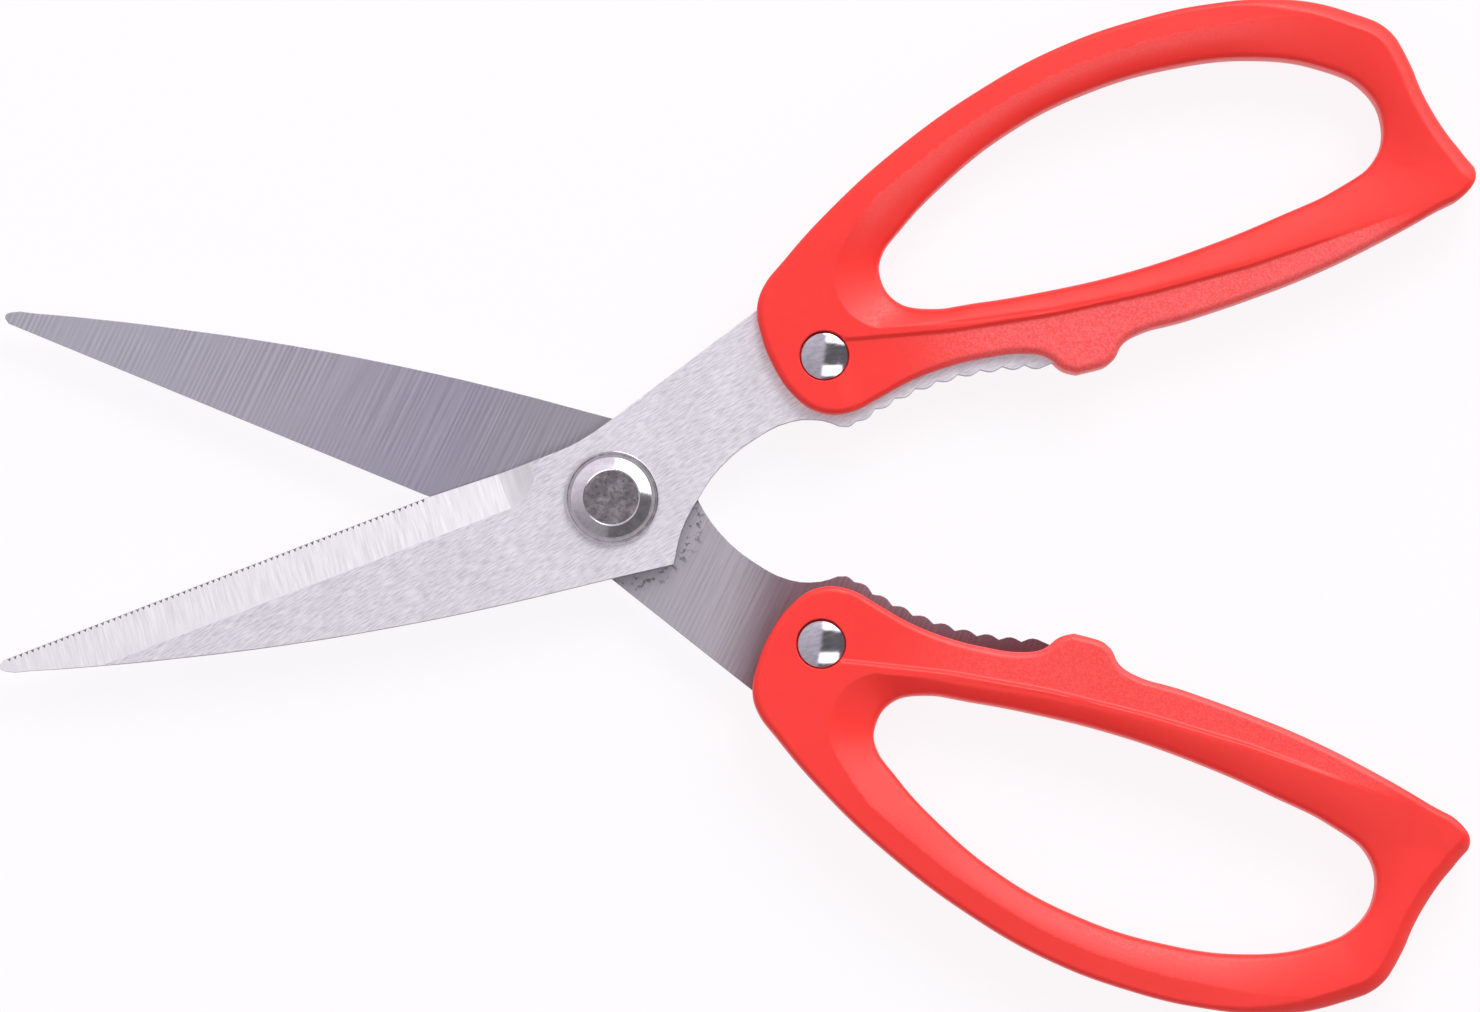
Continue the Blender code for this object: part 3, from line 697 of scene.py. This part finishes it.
def crest_loop(outer, hole):
    """Crest from which the face slopes into the finger loop: above the crease, round the scoop,
    then inside the top bar's outer band and inside the rim of the back end."""
    x = np.arange(*CREST_REACH, CREST_STEP)
    ridge = RIDGE_WIDE + (RIDGE_NARROW - RIDGE_WIDE) * step_up(x, *RIDGE_TAPER)
    low = np.column_stack([x, crease_height(x) + ridge])
    width = BAND_WIDTH + (RIM_END - BAND_WIDTH) * step_up(outer[:, 0], *BAND_OUT)
    high = offset_loop(outer, -width)[::CREST_SKIP]
    is_over = high[:, 1] > crease_height(high[:, 0]) + CREST_OVER_CREASE
    high = high[is_over & (high[:, 0] > SCOOP_BACK)]
    points = np.vstack([low, high, SCOOP])
    from_middle = points - hole.mean(0)
    order = np.argsort(np.arctan2(from_middle[:, 1], from_middle[:, 0]))
    return smooth_loop(points[order], OUTLINE_STEP, CREST_TURN)


def slope_share(points, crest, hole):
    """How far each point lies up the slope from the loop's edge, at 0, to the crest, at 1."""
    from_hole = np.maximum(distance_to(hole, points) - DRAFT, 0)
    from_crest = distance_to(crest, points)
    share = from_hole / np.maximum(from_hole + from_crest, TINY)
    return np.where(is_inside(crest, points), share, 1)


def grip_height(points, outer, hole, crest):
    """Height of a grip's face over its mid plane."""
    x, y = points[:, 0], points[:, 1]
    over_crease = y - crease_height(x)
    from_outer = np.maximum(distance_to(outer, points) - DRAFT, 0)
    from_hole = np.maximum(distance_to(hole, points) - DRAFT, 0)
    # Outer band of the top bar, sloping away from the crest
    on_band = step_up(x, *BAND_IN) * step_up(over_crease, *BAND_OVER) * (1 - step_up(x, *BAND_OUT))
    band = GRIP_HALF - BAND_DROP * on_band * np.clip(1 - from_outer / BAND_WIDTH, 0, 1)
    # Slope into the loop, steepest where it leaves the crest round the scoop
    behind = step_up(x, *SCOOP_OUT)
    start = LOOP_START_FRONT + (LOOP_START - LOOP_START_FRONT) * behind
    depth = LOOP_DEPTH_FRONT + (LOOP_DEPTH - LOOP_DEPTH_FRONT) * behind
    near = 1 - slope_share(points, crest, hole)
    slope = depth * (start * near + (1 - start) * near * near)
    face = np.minimum(band, GRIP_HALF - slope - LOOP_RIM * round_off(from_hole / LOOP_RIM, 0))
    # Fine groove along the lower crest
    groove = GROOVE * np.clip(1 - distance_to(crest, points) / GROOVE_REACH, 0, 1)
    groove = groove * (1 - step_up(over_crease, *GROOVE_UNDER))
    face = face - groove * step_up(x, *GROOVE_IN) * (1 - step_up(x, *GROOVE_OUT))
    # Low land below the crease, sinking slowly away from the rivet
    step = LAND_STEP + LAND_FALL * (x - CREASE[0][0])
    step = step * step_up(x, *LAND_IN) * (1 - step_up(x, *LAND_OUT))
    face = face - step * (1 - step_up(over_crease, -CREASE_RUN, CREASE_RUN))
    # Rim: tight along the top bar, crisp along the land, wide and soft at the back end
    rim = RIM_NOSE + (RIM_LOW - RIM_NOSE) * step_up(x, *LOW_RIM_IN)
    rim = rim + (RIM_TOP - rim) * step_up(x, *TOP_RIM_IN) * step_up(over_crease, *TOP_RIM_OVER)
    rim = rim + (RIM_END - rim) * step_up(x, *END_RIM_IN) * step_up(over_crease, *LAND_OVER)
    crisp = step_up(x, *CRISP_IN) * (1 - step_up(over_crease, *LAND_OVER))
    return face - rim * round_off(from_outer / rim, RIM_START + (RIM_START_LOW - RIM_START) * crisp)


def surface_points(outer, hole, crest):
    """Points that the grip's face is built on: a grid, and rows along its rims and creases."""
    low, high = outer.min(0), outer.max(0)
    rows = []
    for number, y in enumerate(np.arange(low[1], high[1], SURFACE_STEP * math.sqrt(3) / 2)):
        xs = np.arange(low[0] + (number % 2) * SURFACE_STEP / 2, high[0], SURFACE_STEP)
        rows.append(np.column_stack([xs, np.full(len(xs), y)]))
    grid = np.vstack(rows)
    is_far = np.abs(grid[:, 1] - crease_height(grid[:, 0])) > CREASE_CLEAR * CREASE_RUN
    grid = grid[is_far & (distance_to(crest, grid) > CREST_CLEAR)]
    crease_x = np.arange(*CREASE_REACH, OUTLINE_STEP)
    filling = [grid]
    for offset in CREASE_ROWS:
        crease_y = crease_height(crease_x) + offset * CREASE_RUN
        filling.append(np.column_stack([crease_x, crease_y]))
    for offset in CREST_ROWS:
        row = offset_loop(crest, offset)
        is_far = np.abs(row[:, 1] - crease_height(row[:, 0])) > CREASE_CLEAR * CREASE_RUN
        filling.append(row[is_far])
    filling = np.vstack(filling)
    is_far = (distance_to(outer, filling) > OUTER_CLEAR) & (distance_to(hole, filling) > HOLE_CLEAR)
    chosen = [filling[is_far]]
    for loop, side, distances in ((outer, -1, OUTER_RINGS), (hole, 1, HOLE_RINGS)):
        for distance in distances:
            ring = offset_loop(loop, side * (distance + DRAFT))
            chosen.append(ring[distance_to(loop, ring) > RING_FIT * distance + DRAFT])
    points = np.vstack(chosen)
    return points[is_inside(outer, points) & ~is_inside(hole, points)]


def grip_mesh(outer, hole, crest):
    """One grip: two shaped faces, and walls with mould draft that meet on a parting line."""
    rims = [offset_loop(outer, -DRAFT), offset_loop(hole, DRAFT)]
    edges = []
    start = 0
    for rim in rims:
        edges += [(start + i, start + (i + 1) % len(rim)) for i in range(len(rim))]
        start += len(rim)
    points = np.vstack([*rims, surface_points(outer, hole, crest)])
    corners = [Vector(point) for point in points]
    found = geometry.delaunay_2d_cdt(corners, edges, [], 0, SAME_POINT)
    places = np.array([tuple(place) for place in found[0]])
    faces = np.array([face for face in found[2] if len(face) == 3])
    middles = places[faces].mean(1)
    faces = faces[is_inside(rims[0], middles) & ~is_inside(rims[1], middles)]
    used = {old: new for new, olds in enumerate(found[3]) for old in olds}
    heights = grip_height(places, outer, hole, crest)
    parting = np.vstack([outer, hole])
    top = np.column_stack([places, heights])
    bottom = np.column_stack([places, -heights])
    middle = np.column_stack([parting, np.zeros(len(parting))])
    count = len(places)
    polygons = faces.tolist() + (faces[:, ::-1] + count).tolist()
    for first, second in edges:
        a, b = used[first], used[second]
        c, d = 2 * count + second, 2 * count + first
        polygons += [(a, b, c, d), (d, c, b + count, a + count)]
    shell = np.vstack([top, bottom, middle]) + (0, 0, MID_HEIGHT)
    solid = bmesh.new()
    verts = [solid.verts.new(place) for place in shell * MM]
    for polygon in polygons:
        solid.faces.new([verts[number] for number in polygon])
    bmesh.ops.delete(solid, geom=[vert for vert in verts if not vert.link_faces], context="VERTS")
    return mesh_of(solid, "grip")


def mark_pebbles_and_painted_sheen(mesh, crest, hole):
    """Writes how far each point is pebbled, which also sets how far it takes the painted sheen: the
    land, and the top bar just inside its crest. The face under the mid plane in the half's own
    frame, which the rear grip turns upwards, gets less."""
    places = np.array([vertex.co for vertex in mesh.vertices]) / MM
    x, y, z = places.T
    over_crease = y - crease_height(x)
    land = step_up(x, *PEBBLED_LAND_IN) * (1 - step_up(x, *PEBBLED_LAND_OUT))
    land = land * (1 - step_up(over_crease, *PEBBLED_UNDER))
    share = slope_share(places[:, :2], crest, hole)
    bar = step_up(x, *PEBBLED_BAR_IN) * (1 - step_up(x, *PEBBLED_BAR_OUT))
    bar = bar * step_up(over_crease, *PEBBLED_OVER) * step_up(share, *PEBBLED_SLOPE) * (share < 1)
    share_by_face = np.where(z > MID_HEIGHT, 1, PEBBLES_BEHIND)
    amount = share_by_face * np.maximum(land, PEBBLES_ON_BAR * bar)
    pebbles_and_painted_sheen = mesh.attributes.new("pebbles_and_painted_sheen", "FLOAT", "POINT")
    pebbles_and_painted_sheen.data.foreach_set("value", amount.astype(np.float32))


def add_object(name, data):
    obj = bpy.data.objects.new(name, data)
    bpy.context.scene.collection.objects.link(obj)
    return obj


def baked(obj):
    """Object's evaluated shape as a plain mesh; the object is removed."""
    evaluated = obj.evaluated_get(bpy.context.evaluated_depsgraph_get())
    mesh = bpy.data.meshes.new_from_object(evaluated)
    bpy.data.objects.remove(obj)
    return mesh


def cut_with(mesh, cutters, **settings):
    """Mesh with each cutter's mesh taken out of it."""
    obj = add_object("cut", mesh)
    tools = [add_object("cutter", cutter) for cutter in cutters]
    for tool in tools:
        boolean = obj.modifiers.new("Cut", "BOOLEAN")
        boolean.operation = "DIFFERENCE"
        boolean.object = tool
        for name, value in settings.items():
            setattr(boolean, name, value)
    result = baked(obj)
    for tool in tools:
        bpy.data.objects.remove(tool)
    return result


def with_fillets(profile, radii):
    """Profile with the corners of the given numbers rounded to the given radii."""
    points = []
    for number, point in enumerate(profile):
        if number not in radii:
            points.append(point)
            continue
        corner = Vector(point)
        before = (Vector(profile[number - 1]) - corner).normalized()
        after = (Vector(profile[number + 1]) - corner).normalized()
        half_angle = before.angle(after) / 2
        centre = corner + (before + after).normalized() * radii[number] / math.sin(half_angle)
        reach = radii[number] / math.tan(half_angle)
        start, end = corner + before * reach - centre, corner + after * reach - centre
        for step in range(FILLET_STEPS + 1):
            arm = start.lerp(end, step / FILLET_STEPS).normalized()
            points.append(tuple(centre + arm * radii[number]))
    return points


def both_ends(profile):
    """Profile of one end, from mid height to the axis, joined to the same for the other end."""
    return [(radius, STACK_HEIGHT - height) for radius, height in reversed(profile)] + profile


def turned_mesh(profile, is_ring=False):
    """Closed mesh of a profile of (radius, height) turned about the axis."""
    solid = bmesh.new()
    rows = []
    for step in range(TURN_STEPS):
        angle = 2 * math.pi * step / TURN_STEPS
        x, y = math.cos(angle) * MM, math.sin(angle) * MM
        places = [(radius * x, radius * y, height * MM) for radius, height in profile]
        rows.append([solid.verts.new(place) for place in places])
    count = len(profile) if is_ring else len(profile) - 1
    for here, there in zip(rows, rows[1:] + rows[:1]):
        for low in range(count):
            high = (low + 1) % len(profile)
            solid.faces.new((here[low], here[high], there[high], there[low]))
    bmesh.ops.remove_doubles(solid, verts=solid.verts, dist=MERGE)
    return mesh_of(solid, "turned")


def rivet_hole_mesh():
    """Cutter for the shank's hole, and for the flared recess round each head."""
    mouth = RECESS_RADIUS + RECESS_FLARE
    end = [
        (SHANK_HOLE, RECESS_FLOOR),
        (RECESS_RADIUS, RECESS_FLOOR),
        (RECESS_RADIUS, STACK_HEIGHT - RECESS_FLARE),
        (mouth, STACK_HEIGHT),
        (mouth, STACK_HEIGHT + 1),
        (0, STACK_HEIGHT + 1),
    ]
    mesh = turned_mesh(both_ends(end))
    mesh.transform(Matrix.Translation(RIVET_CENTRE * MM))
    return mesh


def slot_mesh():
    """Cutter for the slot that the tang fills."""
    outline = offset_loop(section_loops("front_blade", BLADE_BOTTOM + 1)[0], SLOT_CLEARANCE)
    solid = bmesh.new()
    rows = []
    for height in (BLADE_BOTTOM - SLOT_CLEARANCE, BLADE_TOP + SLOT_CLEARANCE):
        rows.append([solid.verts.new((x * MM, y * MM, height * MM)) for x, y in outline])
    floor, roof = rows
    caps = [solid.faces.new(floor), solid.faces.new(roof)]
    for here in range(len(floor)):
        solid.faces.new((floor[here - 1], floor[here], roof[here], roof[here - 1]))
    bmesh.ops.triangulate(solid, faces=caps)
    return mesh_of(solid, "slot")


def notch_row_mesh(material):
    """Row of V-shaped cutters along the front cutting edge, spread by geometry nodes."""
    tree = bpy.data.node_groups.new("Serration", "GeometryNodeTree")
    sizes = {
        "Heel": EDGE_HEEL * MM,
        "Tip": EDGE_TIP * MM,
        "Pitch": NOTCH_PITCH * MM,
        "Width": NOTCH_WIDTH * MM,
        "Depth": NOTCH_DEPTH * MM,
        "Height": 2 * (BLADE_TOP - BLADE_BOTTOM) * MM,
        "Lean": NOTCH_LEAN,
    }
    sockets = {}
    for name, size in sizes.items():
        kind = "NodeSocketFloat" if isinstance(size, float) else "NodeSocketVector"
        sockets[name] = tree.interface.new_socket(name, in_out="INPUT", socket_type=kind)
    tree.interface.new_socket("Cutters", in_out="OUTPUT", socket_type="NodeSocketGeometry")
    given = add_node(tree, "NodeGroupInput").outputs
    inputs = {"Start": given["Heel"], "End": given["Tip"]}
    line = add_node(tree, "GeometryNodeCurvePrimitiveLine", inputs)
    inputs = {"Curve": line, "Length": given["Pitch"]}
    row = add_node(tree, "GeometryNodeResampleCurve", inputs, mode="LENGTH")
    along = add_node(tree, "GeometryNodeInputTangent")
    inputs = {"Vector": along}
    turn = add_node(tree, "FunctionNodeAlignRotationToVector", inputs, axis="X", pivot_axis="Z")
    # A three-sided prism, stretched until it is as wide as the notch where it crosses the edge
    prism = add_node(tree, "GeometryNodeMeshCylinder", {"Vertices": 3, "Radius": 1.0, "Depth": 1.0})
    deep = add_node(tree, "ShaderNodeMath", {0: given["Depth"], 1: 2.0}, operation="MULTIPLY")
    inputs = {0: given["Width"], 1: math.sqrt(3)}
    wide = add_node(tree, "ShaderNodeMath", inputs, operation="MULTIPLY")
    size = add_node(tree, "ShaderNodeCombineXYZ", {0: deep, 1: wide, 2: given["Height"]})
    prism = add_node(tree, "GeometryNodeTransform", {"Geometry": prism, "Scale": size})
    back = add_node(tree, "ShaderNodeMath", {0: given["Depth"], 1: -1.0}, operation="MULTIPLY")
    inputs = {
        "Geometry": prism,
        "Rotation": add_node(tree, "ShaderNodeCombineXYZ", {1: given["Lean"], 2: math.pi / 2}),
        "Translation": add_node(tree, "ShaderNodeCombineXYZ", {1: back}),
    }
    prism = add_node(tree, "GeometryNodeTransform", inputs)
    inputs = {"Points": row, "Instance": prism, "Rotation": turn}
    prisms = add_node(tree, "GeometryNodeInstanceOnPoints", inputs)
    real = add_node(tree, "GeometryNodeRealizeInstances", {0: prisms})
    ground = add_node(tree, "GeometryNodeSetMaterial", {"Geometry": real, "Material": material})
    add_node(tree, "NodeGroupOutput", {0: ground})
    obj = add_object("notches", bpy.data.meshes.new("notches"))
    modifier = obj.modifiers.new("Serration", "NODES")
    modifier.node_group = tree
    for name, size in sizes.items():
        modifier[sockets[name].identifier] = size
    return baked(obj)


def blade_mesh():
    """One stamped and ground half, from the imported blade, with its sharp edges broken."""
    solid = half_solid("front_blade")
    bmesh.ops.dissolve_limit(solid, angle_limit=FLAT_ANGLE, verts=solid.verts, edges=solid.edges)
    obj = add_object("blade", mesh_of(solid, "blade"))
    broken = obj.modifiers.new("Broken edges", "BEVEL")
    broken.width = BROKEN_EDGE * MM
    broken.segments = 2
    broken.limit_method = "ANGLE"
    broken.angle_limit = SHARP_EDGE
    return baked(obj)


def finish_blade(mesh, flat, bevel, inner, sheared_and_painted_shade):
    """Gives each face of a blade its finish, by which way it faces and where it lies."""
    finishes = [flat, bevel, inner, sheared_and_painted_shade]
    mesh.materials.clear()
    for finish in finishes:
        mesh.materials.append(finish)
    for face in mesh.polygons:
        up = face.normal.z
        is_top = up > 0.999 and face.center.z > (BLADE_TOP - 0.01) * MM
        if up < -0.9:
            finish = inner
        elif is_top or up > 0.5 and face.center.x > SHANK_START * MM:
            finish = flat
        else:
            # Walls and the outer strips of the broken edges take the sheared steel, with its
            # painted shade
            finish = bevel if up > 0.7 else sheared_and_painted_shade
        face.material_index = finishes.index(finish)


def finish_piece(mesh, name, body, node, sharp=SHARP_EDGE):
    """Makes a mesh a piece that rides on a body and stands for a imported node."""
    mesh.shade_smooth()
    mesh.set_sharp_from_angle(angle=sharp)
    piece = add_object(name, mesh)
    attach(piece, body)
    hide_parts(node)


def place_half(mesh, side, name, node, sharp=SHARP_EDGE):
    """Makes a copy of a half's mesh a piece of one side, moved to its place in the pair."""
    copy = mesh.copy()
    copy.transform(HALF_PLACE[side])
    finish_piece(copy, name, side + "_half", node, sharp)


def make_grips():
    loops = section_loops("front_grip", WALL_HEIGHT)
    outer, hole = (smooth_loop(loop, OUTLINE_STEP) for loop in loops[:2])
    crest = crest_loop(outer, hole)
    cutters = [rivet_hole_mesh(), slot_mesh()]
    grip = cut_with(grip_mesh(outer, hole, crest), cutters, solver="MANIFOLD")
    mark_pebbles_and_painted_sheen(grip, crest, hole)
    grip.materials.clear()
    grip.materials.append(red_plastic())
    for side in ("front", "rear"):
        place_half(grip, side, side + "_grip_moulding", side + "_grip")


def make_blades():
    sheared_and_painted_shade = sheared_steel_with_painted_shade()
    plain = blade_mesh()
    for side in ("front", "rear"):
        blade = plain.copy()
        finish_blade(blade, sanded_steel(side), bevel_steel(side), inner_face_steel(side), sheared_and_painted_shade)
        if side == "front":
            notches = notch_row_mesh(sheared_and_painted_shade)
            blade = cut_with(blade, [notches], solver="EXACT", material_mode="TRANSFER")
        name = side + "_blade_ground"
        place_half(blade, side, name, side + "_blade", SHARP_GROUND_EDGE)


def dome_profile(top, base):
    """Profile of a domed rivet head, from its crown out to its rim."""
    height = abs(top - base)
    ball = (DOME_RADIUS**2 + height**2) / (2 * height)
    spread_angle = math.asin(DOME_RADIUS / ball)
    points = []
    for step in range(DOME_STEPS + 1):
        angle = spread_angle * step / DOME_STEPS
        fall = ball * (1 - math.cos(angle))
        points.append((ball * math.sin(angle), top - math.copysign(fall, top - base)))
    return points


def make_rivets():
    """Rivet through each grip: a domed post with a bored shank, and a domed cap with a pin."""
    steel = polished_steel()
    cap_top, cap_base = STACK_HEIGHT - DOME_TOP, STACK_HEIGHT - DOME_BASE
    gap = DOME_BASE - RECESS_FLOOR
    post = [
        *dome_profile(DOME_TOP, DOME_BASE + DOME_RIM),
        (DOME_RADIUS, DOME_BASE),
        (RIVET_SHANK, DOME_BASE),
        (RIVET_SHANK, cap_base + gap),
        (RIVET_BORE, cap_base + gap),
        (RIVET_BORE, DOME_BASE - RIVET_CROWN),
        (0, DOME_BASE - RIVET_CROWN),
    ]
    cap = [
        *dome_profile(cap_top, cap_base - DOME_RIM),
        (DOME_RADIUS, cap_base),
        (RIVET_PIN, cap_base),
        (RIVET_PIN, DOME_BASE - RIVET_CROWN - gap),
        (0, DOME_BASE - RIVET_CROWN - gap),
    ]
    for kind, profile in (("post", post), ("cap", cap)):
        mesh = turned_mesh(profile)
        mesh.transform(Matrix.Translation(RIVET_CENTRE * MM))
        mesh.materials.append(steel)
        for side in ("front", "rear"):
            node = f"{side}_grip_rivet_{kind}"
            place_half(mesh, side, node + "_polished", node)


def stud_mesh():
    """Pivot stud: a plain shank between two heads, each bevelled round a peened flat."""
    flat = HEAD_FLAT - LIP_WIDTH
    peened = STACK_HEIGHT - LIP_DEPTH
    end = [
        (PIVOT_RADIUS, HEAD_BOTTOM),
        (HEAD_RADIUS, HEAD_BOTTOM),
        (HEAD_RADIUS, HEAD_BOTTOM + HEAD_RIM),
        (HEAD_FLAT, STACK_HEIGHT),
        *[(flat * (1 - step / PEEN_RINGS), peened) for step in range(PEEN_RINGS + 1)],
    ]
    mesh = turned_mesh(both_ends(with_fillets(end, HEAD_FILLETS)))
    for vertex in mesh.vertices:
        from_end = min(vertex.co.z, STACK_HEIGHT * MM - vertex.co.z)
        inside = min(1, (flat * MM - vertex.co.xy.length) / (PEEN_FADE * MM))
        if from_end < LIP_DEPTH * MM + MERGE and inside > 0:
            rough = 0.5 + 0.5 * noise.fractal(vertex.co / (PEEN_GRAIN * MM), 1.0, 2.0, 3)
            depth = PEEN_DEPTH * MM * inside * min(1, max(0, rough))
            vertex.co.z += depth if vertex.co.z < MID_HEIGHT * MM else -depth
    return mesh


def make_pivot():
    steel = turned_steel()
    stud = stud_mesh()
    stud.materials.append(steel)
    stud.materials.append(peened_steel())
    for face in stud.polygons:
        is_level = abs(face.normal.z) > 0.6
        is_inside_lip = face.center.xy.length < (HEAD_FLAT - LIP_WIDTH) * MM
        face.material_index = int(is_level and is_inside_lip)
    finish_piece(stud, "pivot_stud_peened", "rear_half", "pivot_stud")
    ring = [
        (WASHER_BORE, WASHER_BOTTOM),
        (WASHER_RADIUS, WASHER_BOTTOM),
        (WASHER_RADIUS, WASHER_TOP),
        (WASHER_GROOVE + GROOVE_DEPTH, WASHER_TOP),
        (WASHER_GROOVE, WASHER_TOP - GROOVE_DEPTH),
        (WASHER_GROOVE - GROOVE_DEPTH, WASHER_TOP),
        (WASHER_BORE, WASHER_TOP),
    ]
    front = turned_mesh(with_fillets(ring, WASHER_FILLETS), is_ring=True)
    front.materials.append(steel)
    rear = front.copy()
    rear.transform(Matrix.Translation((0, 0, STACK_HEIGHT * MM)) @ Matrix.Rotation(math.pi, 4, "X"))
    for side, washer in (("front", front), ("rear", rear)):
        node = side + "_pivot_washer"
        finish_piece(washer, node + "_turned", "rear_half", node)


def make_camera():
    camera = add_object("camera", bpy.data.cameras.new("camera"))
    back = Vector((0, -math.sin(VIEW_LEAN), math.cos(VIEW_LEAN)))
    right = Vector((math.cos(VIEW_ROLL), math.sin(VIEW_ROLL), 0))
    right = (right - right.dot(back) * back).normalized()
    turn = Matrix((right, back.cross(right), back)).transposed().to_4x4()
    camera.matrix_world = Matrix.Translation((VIEW_CENTRE + CAMERA_DISTANCE * back) * MM) @ turn
    camera.data.lens = camera.data.sensor_width * CAMERA_DISTANCE / (IMAGE_WIDTH * PIXEL)
    camera.data.clip_end = VIEW_DEPTH
    bpy.context.scene.camera = camera


def make_floor():
    """White paper that stays white behind the scissors and keeps their faint shadow."""
    mesh = bpy.data.meshes.new("floor")
    sides = [(-1, -1), (1, -1), (1, 1), (-1, 1)]
    corners = [(x * FLOOR_REACH, y * FLOOR_REACH, FLOOR_LEVEL * MM) for x, y in sides]
    mesh.from_pydata(corners, [], [(0, 1, 2, 3)])
    floor = add_object("floor", mesh)
    material, tree = new_tree("white paper")
    path = add_node(tree, "ShaderNodeLightPath").outputs
    inputs = {0: path["Is Camera Ray"], 1: path["Is Glossy Ray"]}
    seen = add_node(tree, "ShaderNodeMath", inputs, operation="ADD")
    inputs = {0: seen, 1: path["Is Transmission Ray"]}
    seen = add_node(tree, "ShaderNodeMath", inputs, operation="ADD")
    strength = add_node(tree, "ShaderNodeMix", {0: seen, 2: 0.55, 3: 0.895})
    glow = add_node(tree, "ShaderNodeEmission", {"Color": linear("#FFFDFF"), "Strength": strength})
    paper = add_node(tree, "ShaderNodeBsdfDiffuse", {"Color": linear("#5C5A5C")})
    both = add_node(tree, "ShaderNodeAddShader", {0: paper, 1: glow})
    add_node(tree, "ShaderNodeOutputMaterial", {"Surface": both})
    mesh.materials.append(material)


def make_studio():
    """Soft light from a lavender wall on the left, a white wall above and a white card below on the
    right, with the dark room between them, pale low down all round, and one soft box. Places in it
    are given as how far across and up the picture they lie for each unit of height."""
    world = bpy.data.worlds.new("studio")
    world.use_nodes = True
    bpy.context.scene.world = world
    tree = world.node_tree
    direction = add_node(tree, "ShaderNodeTexCoord").outputs["Generated"]
    x, y, z = add_node(tree, "ShaderNodeSeparateXYZ", {0: direction}).outputs
    height = add_node(tree, "ShaderNodeMath", {0: z, 1: 0.02}, operation="MAXIMUM")
    across = add_node(tree, "ShaderNodeMath", {0: x, 1: height}, operation="DIVIDE")
    up = add_node(tree, "ShaderNodeMath", {0: y, 1: height}, operation="DIVIDE")
    inputs = {0: up, 1: 0.39, 2: 0.53, 3: 0.0, 4: 1.0}
    wall = add_node(tree, "ShaderNodeMapRange", inputs, **SMOOTH)
    edges = [
        {0: up, 1: -0.58, 2: -0.47, 3: 0.0, 4: 1.0},
        {0: up, 1: -0.26, 2: -0.16, 3: 1.0, 4: 0.0},
        {0: across, 1: 0.48, 2: 0.62, 3: 1.0, 4: 0.0},
    ]
    card = overlap(tree, edges)
    white = add_node(tree, "ShaderNodeMath", {0: wall, 1: card}, operation="MAXIMUM")
    right = add_node(tree, "ShaderNodeMix", {0: white, 2: 0.16, 3: 2.7})
    inputs = {0: up, 1: -2.0, 2: 2.6, 3: 0.36, 4: 1.12}
    left = add_node(tree, "ShaderNodeMapRange", inputs, **SMOOTH)
    inputs = {0: up, 1: -0.11, 2: across}
    aslant = add_node(tree, "ShaderNodeMath", inputs, operation="MULTIPLY_ADD")
    inputs = {0: aslant, 1: -0.07, 2: 0.07, 3: 0.0, 4: 1.0}
    is_right = add_node(tree, "ShaderNodeMapRange", inputs, **SMOOTH)
    inputs = {0: z, 1: 0.16, 2: 0.26, 3: 1.0, 4: 0.0}
    is_low = add_node(tree, "ShaderNodeMapRange", inputs, **SMOOTH)
    strength = add_node(tree, "ShaderNodeMix", {0: is_right, 2: left, 3: right})
    strength = add_node(tree, "ShaderNodeMix", {0: is_low, 2: strength, 3: 0.8})
    inputs = {0: is_right, 6: linear("#F4EEF6"), 7: linear("#FFFDFF")}
    colour = add_node(tree, "ShaderNodeMix", inputs, data_type="RGBA")
    fill(tree, tree.nodes["Background"], {"Color": colour, "Strength": strength})
    lamp = bpy.data.lights.new("soft box", "AREA")
    lamp.size = 0.36
    lamp.energy = 3.0
    box = add_object("soft box", lamp)
    box.location = (0.22, 0.75, 0.7)
    box.rotation_euler = box.location.to_track_quat("Z", "Y").to_euler()


def main():
    bpy.context.scene.view_settings.view_transform = "Standard"
    make_camera()
    make_floor()
    make_studio()
    make_grips()
    make_blades()
    make_rivets()
    make_pivot()


main()
